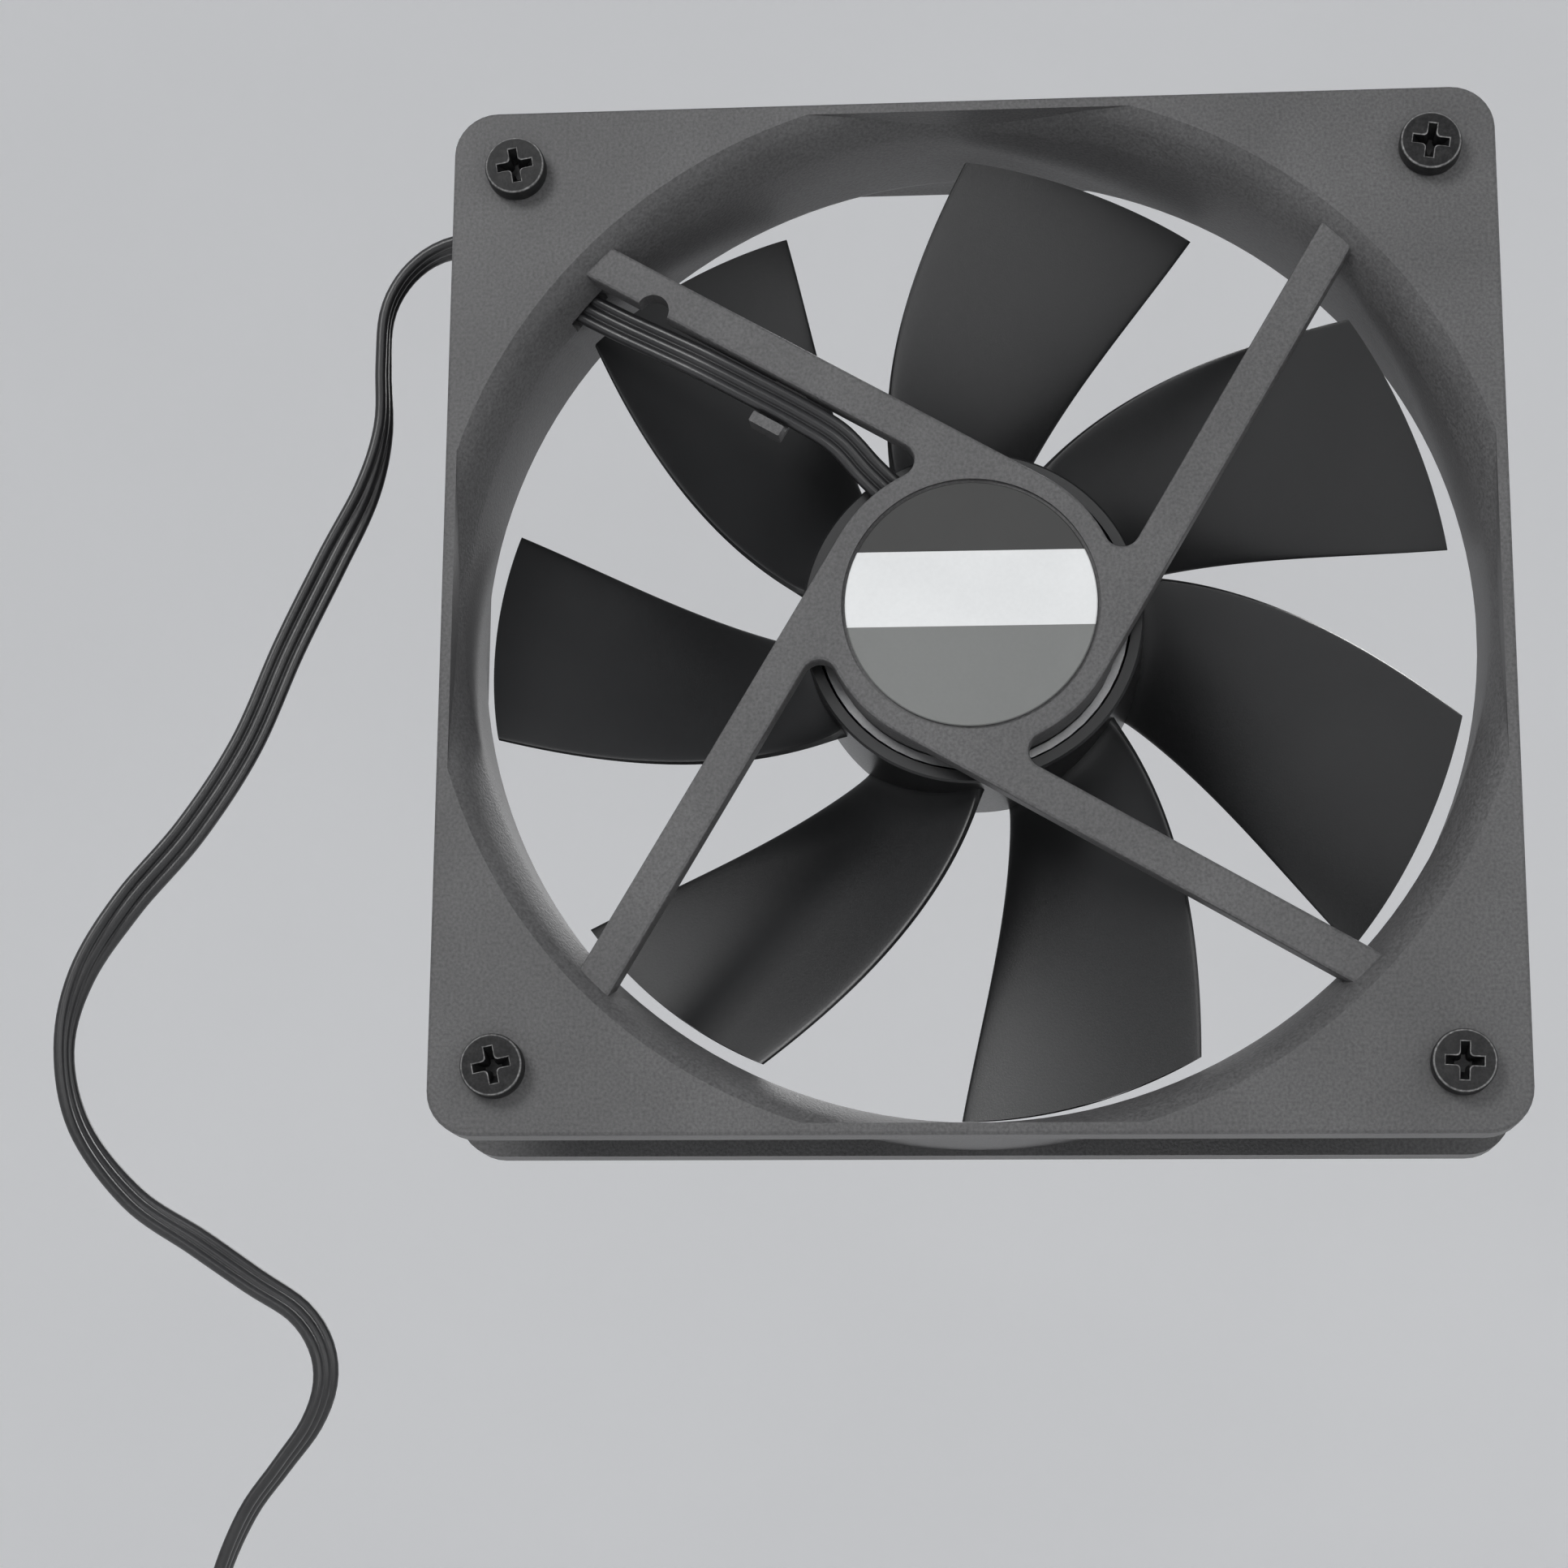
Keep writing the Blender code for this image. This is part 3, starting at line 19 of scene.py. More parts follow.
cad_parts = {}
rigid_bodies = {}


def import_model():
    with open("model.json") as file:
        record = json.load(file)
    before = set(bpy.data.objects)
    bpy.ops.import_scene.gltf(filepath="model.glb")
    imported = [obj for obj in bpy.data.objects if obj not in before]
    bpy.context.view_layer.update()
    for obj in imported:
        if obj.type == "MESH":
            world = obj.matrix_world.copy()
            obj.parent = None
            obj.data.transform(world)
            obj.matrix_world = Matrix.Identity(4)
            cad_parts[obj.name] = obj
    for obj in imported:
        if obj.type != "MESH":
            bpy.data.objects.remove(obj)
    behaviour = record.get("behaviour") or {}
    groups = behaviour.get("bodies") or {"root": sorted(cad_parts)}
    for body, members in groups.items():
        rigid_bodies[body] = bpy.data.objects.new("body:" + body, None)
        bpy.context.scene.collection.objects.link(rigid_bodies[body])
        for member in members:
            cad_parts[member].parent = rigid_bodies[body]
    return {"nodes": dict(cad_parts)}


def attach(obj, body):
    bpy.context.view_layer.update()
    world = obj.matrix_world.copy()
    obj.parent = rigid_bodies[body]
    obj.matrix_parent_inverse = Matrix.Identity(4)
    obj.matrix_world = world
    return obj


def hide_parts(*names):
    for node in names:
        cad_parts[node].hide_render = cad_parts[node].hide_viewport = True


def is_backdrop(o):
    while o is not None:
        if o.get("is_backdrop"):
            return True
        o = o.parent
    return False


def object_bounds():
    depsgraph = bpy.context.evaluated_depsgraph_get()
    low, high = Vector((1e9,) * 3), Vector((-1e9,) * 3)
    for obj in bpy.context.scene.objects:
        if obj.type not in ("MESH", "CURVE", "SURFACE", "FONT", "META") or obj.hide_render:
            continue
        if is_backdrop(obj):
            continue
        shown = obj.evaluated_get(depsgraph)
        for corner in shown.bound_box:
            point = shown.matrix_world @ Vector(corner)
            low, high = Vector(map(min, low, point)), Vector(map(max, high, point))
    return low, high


MM = 0.001
FULL = 2.0 * math.pi
QUARTER = FULL / 4.0

# Radius of the label, gap between pieces that touch and reach of a cutter past a face, in millimetres
LABEL_RADIUS = 14.2
CLEAR = 0.3
PAST = 9.0

# Distance from the lowest solid to the floor, in metres
FLOOR_GAP = 0.004

LOG = logging.getLogger("case_fan")
Point2 = tuple[float, float]
Point3 = tuple[float, float, float]
Point4 = tuple[float, float, float, float]
Colour = tuple[float, float, float]
Item = bpy.types.Object
Shape = bmesh.types.BMesh
Tree = bpy.types.NodeTree
Socket = bpy.types.NodeSocket


class Body(Enum):
    """The two rigid bodies of the fan."""

    FRAME = "frame_body"
    ROTOR = "rotor"


class Grain(Enum):
    """How a surface was made, which sets the direction of its fine relief."""

    EVEN = (1.0, 1.0, 1.0)
    TURNED = (1.0, 0.12, 1.0)
    DRAWN = (0.1, 1.0, 1.0)


class Boolean(Enum):
    """What a Boolean does with its tool."""

    ADD = "UNION"
    CUT = "DIFFERENCE"
    KEEP = "INTERSECT"


class Ends(Enum):
    """What closes a loft at its first and last ring."""

    CAPS = "a face on each"
    LOOP = "each other"
    OPEN = "nothing"


def node(tree: Tree, kind: str, inputs: dict | None = None, **settings: str) -> bpy.types.Node:
    """Add a node to a tree.

    Args:
        tree: Tree of a material or of a geometry.
        kind: Type of the node.
        inputs: A value, or a socket to link, for each input by name or number.
        settings: Attributes of the node, such as its operation.

    Returns:
        The node.
    """
    made = tree.nodes.new(kind)
    for name, value in settings.items():
        setattr(made, name, value)
    for name, value in (inputs or {}).items():
        if isinstance(value, Socket):
            tree.links.new(value, made.inputs[name])
        else:
            made.inputs[name].default_value = value
    return made


def maths(tree: Tree, operation: str, first: Socket, second: Socket | float) -> Socket:
    """Work one value out of two."""
    return node(tree, "ShaderNodeMath", {0: first, 1: second}, operation=operation).outputs["Value"]


def ranged(tree: Tree, value: Socket, source: Point2, target: Point2) -> Socket:
    """Map a value from one range to another."""
    ends = dict(zip(("From Min", "From Max", "To Min", "To Max"), (*source, *target)))
    return node(tree, "ShaderNodeMapRange", {"Value": value, **ends}).outputs["Result"]


def ramped(tree: Tree, value: Socket, stops: list[tuple[float, Colour]], mode: str = "LINEAR") -> Socket:
    """Colour a value by a ramp.

    Args:
        tree: Node tree of the material.
        value: Value from 0 to 1.
        stops: Places on the ramp, from the first up, and their colours.
        mode: How colours change between the stops.

    Returns:
        The colour.
    """
    ramp = node(tree, "ShaderNodeValToRGB", {"Fac": value})
    ramp.color_ramp.interpolation = mode
    marks = ramp.color_ramp.elements
    while len(marks) < len(stops):
        marks.new(0.5)
    for mark, (place, colour) in zip(marks, stops):
        mark.position = place
        mark.color = (*colour, 1.0)
    return ramp.outputs["Color"]


def mixed(tree: Tree, share: Socket | float, first: Socket, second: Socket | Point4, blend: str) -> Socket:
    """Mix two colours.

    Args:
        tree: Node tree of the material.
        share: Share of the second colour.
        first: Colour below.
        second: Colour above.
        blend: How they mix.

    Returns:
        The mixed colour.
    """
    first_colour, second_colour, result = 6, 7, 2
    inputs = {"Factor": share, first_colour: first, second_colour: second}
    return node(tree, "ShaderNodeMix", inputs, data_type="RGBA", blend_type=blend).outputs[result]


@dataclass(frozen=True)
class Finish:
    """One procedural material: two mixed colours, varied gloss and a fine relief.

    Args:
        slot: The record's material slot, which also names the material.
        colour: Main colour, linear.
        second: Colour of the patches.
        roughness: Middle of the gloss range.
        metallic: 0 for plastics, 1 for metals.
        grain_mm: Size of the relief's grains.
        relief: Strength of the relief.
        patch_mm: Size of the colour patches.
        grain: Direction of the relief.
        rub_and_highlight_colour: Edge colour, rubbed coat plus painted highlight, marked by the attribute
            "rub_and_highlight".
        speckle: Share by which the grains are darker or lighter than the colour.
        specular: Strength of the mirror-like part of a plastic's gloss.
    """

    slot: str
    colour: Colour
    second: Colour
    roughness: float
    metallic: float = 0.0
    grain_mm: float = 0.3
    relief: float = 0.15
    patch_mm: float = 14.0
    grain: Grain = Grain.EVEN
    rub_and_highlight_colour: Colour | None = None
    speckle: float = 0.08
    specular: float = 0.5

    def material(self) -> bpy.types.Material:
        """Build the material once and hand it back later.

        Returns:
            The node material of this finish.
        """
        name = "look_" + self.slot
        made = bpy.data.materials.get(name)
        if made is None:
            made = bpy.data.materials.new(name)
            made.use_nodes = True
            self.dress(made.node_tree, made.node_tree.nodes["Principled BSDF"])
        return made

    def noise(self, tree: Tree, size_mm: float, detail: float) -> Socket:
        """Add a noise texture in object coordinates.

        Args:
            tree: Node tree of the material.
            size_mm: Size of one patch of the noise.
            detail: Octaves of the noise.

        Returns:
            Its value.
        """
        place = node(tree, "ShaderNodeTexCoord").outputs["Object"]
        stretch = node(tree, "ShaderNodeMapping", {"Vector": place, "Scale": self.grain.value})
        inputs = {"Vector": stretch.outputs["Vector"], "Scale": 1.0 / (size_mm * MM), "Detail": detail}
        return node(tree, "ShaderNodeTexNoise", inputs).outputs["Fac"]

    def dress(self, tree: Tree, shader: bpy.types.Node) -> None:
        """Wire the colours, the gloss and the relief into the shader.

        Args:
            tree: Node tree of the material.
            shader: Its shader.
        """
        shader.inputs["Metallic"].default_value = self.metallic
        shader.inputs["Specular IOR Level"].default_value = self.specular
        low, high, spread, least = 0.38, 0.66, 0.1, 0.05
        patches = self.noise(tree, self.patch_mm, detail=4.0)
        tint = ramped(tree, patches, [(low, self.colour), (high, self.second)])
        # Edges that the mesh marks get a light colour: rubbed-off coat and a painted highlight
        if self.rub_and_highlight_colour is not None:
            tint = self.rub_and_highlight(tree, tint)
        fine = self.noise(tree, self.grain_mm, detail=3.0)
        grains = ranged(tree, fine, (0.3, 0.7), (1.0 - self.speckle, 1.0 + self.speckle))
        shade = node(tree, "ShaderNodeVectorMath", {0: tint, "Scale": grains}, operation="SCALE")
        tree.links.new(shade.outputs["Vector"], shader.inputs["Base Color"])
        limits = (max(least, self.roughness - spread), min(1.0, self.roughness + spread))
        tree.links.new(ranged(tree, fine, (0.0, 1.0), limits), shader.inputs["Roughness"])
        height = 0.3 * self.grain_mm * MM
        inputs = {"Strength": self.relief, "Distance": height, "Height": fine}
        tree.links.new(node(tree, "ShaderNodeBump", inputs).outputs["Normal"], shader.inputs["Normal"])

    def rub_and_highlight(self, tree: Tree, tint: Socket) -> Socket:
        """Mix in the light colour of rubbed edges and their painted highlight where the mesh says so.

        Args:
            tree: Node tree of the material.
            tint: Colour before wear.

        Returns:
            The mixed colour.
        """
        marks = node(tree, "ShaderNodeAttribute", attribute_name="rub_and_highlight")
        share = maths(tree, "MULTIPLY", marks.outputs["Fac"], self.noise(tree, size_mm=0.6, detail=2.0))
        return mixed(tree, share, tint, (*self.rub_and_highlight_colour, 1.0), "MIX")


@dataclass(frozen=True)
class LabelFinish(Finish):
    """Printed label: plain bands of colour across a round sticker.

    Args:
        bands: Pairs of the height where a band starts, from the bottom up, and its colour.
    """

    bands: tuple[tuple[float, Colour], ...] = ()

    def dress(self, tree: Tree, shader: bpy.types.Node) -> None:
        """Print the bands over the plain finish.

        Args:
            tree: Node tree of the material.
            shader: Its shader.
        """
        super().dress(tree, shader)
        place = node(tree, "ShaderNodeTexCoord").outputs["Object"]
        rise = node(tree, "ShaderNodeSeparateXYZ", {"Vector": place}).outputs["Z"]
        height = ranged(tree, rise, (-LABEL_RADIUS * MM, LABEL_RADIUS * MM), (0.0, 1.0))
        stops = [((start + LABEL_RADIUS) / (2.0 * LABEL_RADIUS), colour) for start, colour in self.bands]
        paper = shader.inputs["Base Color"].links[0].from_socket
        printed = mixed(tree, 1.0, ramped(tree, height, stops, "CONSTANT"), paper, "MULTIPLY")
        tree.links.new(printed, shader.inputs["Base Color"])


@dataclass(frozen=True)
class BackdropFinish(Finish):
    """Pale matt sweep that is lifted a little where it is looked at and lights nothing.

    Args:
        lift: Strength of that lift, where 1 is white.
    """

    lift: float = 0.22

    def dress(self, tree: Tree, shader: bpy.types.Node) -> None:
        """Add the lift for rays that show the sweep itself.

        Args:
            tree: Node tree of the material.
            shader: Its shader.
        """
        super().dress(tree, shader)
        shader.inputs["Emission Color"].default_value = (0.97, 0.98, 1.0, 1.0)
        path = node(tree, "ShaderNodeLightPath").outputs
        seen = path["Is Camera Ray"]
        for kind in ("Is Glossy Ray", "Is Transmission Ray"):
            seen = maths(tree, "MAXIMUM", seen, path[kind])
        tree.links.new(maths(tree, "MULTIPLY", seen, self.lift), shader.inputs["Emission Strength"])


FINISHES: dict[str, Finish] = {
    item.slot: item
    for item in (
        Finish(
            "frame_plastic",
            (0.078, 0.077, 0.078),
            (0.096, 0.095, 0.096),
            0.56,
            grain_mm=0.36,
            relief=0.7,
            patch_mm=18.0,
            speckle=0.3,
        ),
        Finish(
            "blade_plastic",
            (0.009, 0.0092, 0.0098),
            (0.013, 0.0132, 0.0138),
            0.36,
            grain_mm=0.22,
            relief=0.12,
            patch_mm=22.0,
        ),
        LabelFinish(
            "label_paper",
            (0.94, 0.94, 0.94),
            (1.0, 1.0, 1.0),
            0.4,
            grain_mm=0.5,
            relief=0.04,
            speckle=0.015,
            specular=0.3,
            bands=(
                (-LABEL_RADIUS, (0.19, 0.195, 0.19)),
                (-2.7, (0.76, 0.77, 0.77)),
                (6.0, (0.045, 0.045, 0.044)),
            ),
        ),
        Finish(
            "screw_black",
            (0.011, 0.011, 0.0115),
            (0.02, 0.02, 0.02),
            0.42,
            relief=0.25,
            patch_mm=1.2,
            # Light edge colour: rubbed-off coat and a painted highlight on the head's rim and the cross's
            # lip
            rub_and_highlight_colour=(0.6, 0.595, 0.59),
            speckle=0.3,
            specular=0.2,
        ),
        # Steel is darker than bare steel: a painted shade for the yoke's rim in the gap under the hub
        Finish("steel", (0.25, 0.25, 0.255), (0.33, 0.33, 0.33), 0.42, 1.0, 0.3, 0.1, 6.0, Grain.TURNED),
        Finish("magnet", (0.07, 0.066, 0.062), (0.1, 0.095, 0.09), 0.7, 0.0, 0.3, 0.3, 4.0),
        Finish("brass", (0.62, 0.46, 0.2), (0.72, 0.55, 0.26), 0.32, 1.0, 0.2, 0.1, 4.0, Grain.TURNED),
        Finish("bronze", (0.36, 0.25, 0.14), (0.45, 0.32, 0.18), 0.55, 1.0, 0.15, 0.4, 3.0),
        Finish("copper", (0.5, 0.2, 0.09), (0.62, 0.27, 0.13), 0.33, 1.0, 0.25, 0.5, 3.0, Grain.DRAWN),
        Finish("nylon", (0.72, 0.7, 0.64), (0.8, 0.78, 0.72), 0.45, 0.0, 0.3, 0.1, 5.0),
        Finish("board", (0.03, 0.14, 0.06), (0.06, 0.22, 0.1), 0.35, 0.0, 0.8, 0.3, 2.2),
        Finish("chip", (0.018, 0.018, 0.018), (0.03, 0.03, 0.03), 0.5, 0.0, 0.12, 0.3, 1.0),
        Finish("ceramic", (0.44, 0.32, 0.21), (0.54, 0.4, 0.28), 0.5, 0.0, 0.12, 0.2, 0.8),
        Finish("lead", (0.014, 0.014, 0.015), (0.022, 0.022, 0.023), 0.34, 0.0, 0.5, 0.08, 9.0),
        Finish("tie", (0.018, 0.018, 0.018), (0.028, 0.028, 0.028), 0.45, 0.0, 0.3, 0.2, 2.0),
        Finish("plug_plastic", (0.018, 0.018, 0.019), (0.027, 0.027, 0.028), 0.4, 0.0, 0.3, 0.25, 4.0),
        Finish("tin", (0.6, 0.6, 0.58), (0.7, 0.7, 0.68), 0.28, 1.0, 0.2, 0.1, 1.5, Grain.DRAWN),
    )
}


def arc(centre: Point2, radius: float, start: float, end: float, steps: int) -> list[Point2]:
    """Points of an arc in the XZ plane, from its start angle to its end angle in radians."""
    angles = [start + (end - start) * index / steps for index in range(steps + 1)]
    return [(centre[0] + radius * math.cos(a), centre[1] + radius * math.sin(a)) for a in angles]


def circle(radius: float, steps: int) -> list[Point2]:
    """Points of a full circle about the fan's axis."""
    return arc((0.0, 0.0), radius, 0.0, FULL, steps)[:-1]


def rounded(width: float, height: float, radius: float, steps: int = 5) -> list[Point2]:
    """Rectangle with round corners about the middle.

    Args:
        width: Size along X.
        height: Size along Z.
        radius: Radius of the corners.
        steps: Spans in each corner.

    Returns:
        The outline.
    """
    points: list[Point2] = []
    for corner, (sx, sz) in enumerate([(1, 1), (-1, 1), (-1, -1), (1, -1)]):
        middle = (sx * (width / 2.0 - radius), sz * (height / 2.0 - radius))
        points += arc(middle, radius, corner * QUARTER, (corner + 1) * QUARTER, steps)
    return points


def between(ends: Point2, share: float) -> float:
    """Value at a share of the way from one end to the other."""
    return ends[0] + (ends[1] - ends[0]) * share


def at_level(outline: list[Point2], level: float) -> list[Point3]:
    """Points of an XZ outline at one level."""
    return [(x, level, z) for x, z in outline]


def loft(rings: list[list], ends: Ends = Ends.CAPS) -> Shape:
    """Join neighbouring rings of equal count with quads.

    Args:
        rings: Points of each ring.
        ends: What closes the first and the last ring.

    Returns:
        The shape.
    """
    shape = bmesh.new()
    rows = [[shape.verts.new(point) for point in ring] for ring in rings]
    pairs = list(zip(rows, rows[1:]))
    if ends is Ends.LOOP:
        pairs.append((rows[-1], rows[0]))
    for first, second in pairs:
        for index in range(len(first)):
            after = (index + 1) % len(first)
            shape.faces.new((first[index], first[after], second[after], second[index]))
    if ends is Ends.CAPS:
        shape.faces.new(rows[0])
        shape.faces.new(rows[-1])
    return shape


def prism(outline: list[Point2], bottom: float, top: float) -> Shape:
    """Extrude an XZ outline along Y."""
    return loft([at_level(outline, level) for level in (bottom, top)])


def revolve(profile: list[Point2], steps: int, ends: Ends = Ends.LOOP) -> Shape:
    """Turn a profile about the Y axis.

    Args:
        profile: Points of radius and level; a point on the axis is shared by all spans.
        steps: Number of spans round the axis.
        ends: What the first and the last point are joined to.

    Returns:
        The turned shape.
    """
    least, merge = 1e-5, 1e-4
    shape = loft([at_level(circle(max(radius, least), steps), level) for radius, level in profile], ends)
    bmesh.ops.remove_doubles(shape, verts=shape.verts, dist=merge)
    return shape


def about_axis(angle: float) -> Matrix:
    """Turn about the fan's axis, from +X towards +Z."""
    return Matrix.Rotation(-angle, 4, "Y")


def shifted(x: float, y: float, z: float) -> Matrix:
    """Shift to the right, into the fan and up."""
    return Matrix.Translation((x, y, z))


def placed(name: str, data: bpy.types.ID) -> Item:
    """Put a mesh, a light or a camera into the scene.

    Args:
        name: Name of the object.
        data: What it shows.

    Returns:
        The object.
    """
    made = bpy.data.objects.new(name, data)
    bpy.context.scene.collection.objects.link(made)
    return made


def solid(name: str, shape: Shape, move: Matrix | None = None) -> Item:
    """Put a shape into the scene.

    Args:
        name: Name of the object.
        shape: Shape, which is used up.
        move: Where it goes.

    Returns:
        The object.
    """
    if move is not None:
        bmesh.ops.transform(shape, matrix=move, verts=shape.verts)
    bmesh.ops.recalc_face_normals(shape, faces=shape.faces)
    mesh = bpy.data.meshes.new(name)
    shape.to_mesh(mesh)
    shape.free()
    return placed(name, mesh)


def tool(shape: Shape, move: Matrix | None = None) -> Item:
    """Put a shape into the scene that another piece is then combined with."""
    return solid("tool", shape, move)


def settle(item: Item) -> Item:
    """Turn an object's modifiers into plain mesh.

    Args:
        item: Object with modifiers.

    Returns:
        The same object without them.
    """
    bpy.context.view_layer.update()
    graph = bpy.context.evaluated_depsgraph_get()
    mesh = bpy.data.meshes.new_from_object(item.evaluated_get(graph))
    item.modifiers.clear()
    item.data = mesh
    return item


def combine(base: Item, other: Item, how: Boolean) -> Item:
    """Apply one exact Boolean and drop its tool.

    Args:
        base: Piece that is kept.
        other: Piece that is used up.
        how: What is done with it.

    Returns:
        The kept piece.
    """
    step = base.modifiers.new("combine", "BOOLEAN")
    step.operation = how.value
    step.solver = "EXACT"
    step.object = other
    settle(base)
    bpy.data.objects.remove(other, do_unlink=True)
    return base


def joined(base: Item, other: Item) -> None:
    """Put a loose shape into another object.

    Args:
        base: Object that takes it.
        other: Object that is used up.
    """
    shape = bmesh.new()
    for item in (base, other):
        shape.from_mesh(item.data)
    shape.to_mesh(base.data)
    shape.free()
    bpy.data.objects.remove(other, do_unlink=True)


def cleaned(item: Item) -> None:
    """Merge the double points and the flat faces that Booleans leave.

    Args:
        item: Piece to change.
    """
    merge, flat = 2e-3, math.radians(0.6)
    shape = bmesh.new()
    shape.from_mesh(item.data)
    bmesh.ops.remove_doubles(shape, verts=shape.verts, dist=merge)
    edges = shape.edges
    bmesh.ops.dissolve_limit(shape, angle_limit=flat, verts=shape.verts, edges=edges, delimit={"NORMAL"})
    shape.to_mesh(item.data)
    shape.free()


def edged(item: Item, width: float) -> Item:
    """Round the sharp edges of a piece.

    Args:
        item: Piece to change.
        width: Width of the rounding.

    Returns:
        The same piece.
    """
    cleaned(item)
    step = item.modifiers.new("edges", "BEVEL")
    step.width = width
    step.segments = 2
    step.limit_method = "ANGLE"
    step.angle_limit = math.radians(38.0)
    step.use_clamp_overlap = True
    return settle(item)


def painted(item: Item, slot: str) -> None:
    """Give a piece the finish of its slot.

    Args:
        item: Piece to change.
        slot: Material slot of the record.
    """
    item.data.materials.clear()
    item.data.materials.append(FINISHES[slot].material())


def show(item: Item, slot: str, body: Body, nodes: tuple[str, ...], smooth: float = 34.0) -> Item:
    """Finish a piece: metres, shading, material and the body it rides on.

    Args:
        item: Piece in millimetres.
        slot: Material slot of the record.
        body: Body that carries it.
        nodes: Solids that it stands for.
        smooth: Angle in degrees up to which its edges are shaded smooth.

    Returns:
        The finished piece.
    """
    item.data.transform(Matrix.Scale(MM, 4))
    item.data.shade_smooth()
    item.data.set_sharp_from_angle(angle=math.radians(smooth))
    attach(item, body.value)
    painted(item, slot)
    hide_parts(*nodes)
    LOG.info("%s: %d faces for %s", item.name, len(item.data.polygons), ", ".join(nodes))
    return item


class Repeater:
    """A small Geometry Nodes tree that repeats one shape along Y or round it."""

    def __init__(self, name: str) -> None:
        """Start a tree with its sockets and wire it.

        Args:
            name: Name of the node group.
        """
        self.tree = bpy.data.node_groups.new(name, "GeometryNodeTree")
        face = self.tree.interface
        face.new_socket("Geometry", in_out="OUTPUT", socket_type="NodeSocketGeometry")
        kinds = {
            "Geometry": "Geometry",
            "Count": "Int",
            "Turn": "Float",
            "Rise": "Float",
            "Material": "Material",
        }
        for title, kind in kinds.items():
            face.new_socket(title, in_out="INPUT", socket_type="NodeSocket" + kind)
        self.build()

    def vector_y(self, value: Socket) -> Socket:
        """Index times a value, as a vector along Y.

        Args:
            value: Step between copies.

        Returns:
            The vector.
        """
        index = node(self.tree, "GeometryNodeInputIndex").outputs["Index"]
        product = maths(self.tree, "MULTIPLY", index, value)
        return node(self.tree, "ShaderNodeCombineXYZ", {"Y": product}).outputs["Vector"]

    def build(self) -> None:
        """Wire the tree: points, an instance on each, real geometry and its material."""
        start = node(self.tree, "NodeGroupInput").outputs
        inputs = {"Count": start["Count"], "Position": self.vector_y(start["Rise"])}
        points = node(self.tree, "GeometryNodePoints", inputs).outputs["Points"]
        inputs = {"Points": points, "Instance": start["Geometry"], "Rotation": self.vector_y(start["Turn"])}
        copies = node(self.tree, "GeometryNodeInstanceOnPoints", inputs).outputs["Instances"]
        real = node(self.tree, "GeometryNodeRealizeInstances", {"Geometry": copies}).outputs["Geometry"]
        inputs = {"Geometry": real, "Material": start["Material"]}
        coated = node(self.tree, "GeometryNodeSetMaterial", inputs).outputs["Geometry"]
        node(self.tree, "NodeGroupOutput", {"Geometry": coated})

    def repeat(self, item: Item, slot: str, count: int, turn: float = 0.0, rise: float = 0.0) -> None:
        """Repeat an object's shape and keep the result as plain mesh.

        Args:
            item: Object that holds one copy.
            slot: Material slot for the copies.
            count: How many copies.
            turn: Angle between copies about Y.
            rise: Distance between copies along Y.
        """
        values = {"Count": count, "Turn": turn, "Rise": rise, "Material": FINISHES[slot].material()}
        step = item.modifiers.new("repeat", "NODES")
        step.node_group = self.tree
        for socket in self.tree.interface.items_tree:
            if socket.in_out == "INPUT" and socket.name in values:
                step[socket.identifier] = values[socket.name]
        settle(item)


@dataclass(frozen=True)
class Block:
    """Block set square to the upper left strut.

    Args:
        distance: Middle along the strut.
        offset: Middle across, from the axis.
        length: Size along the strut.
        width: Size across.
        low: First level.
        high: Last level.
    """

    distance: float
    offset: float
    length: float
    width: float
    low: float
    high: float


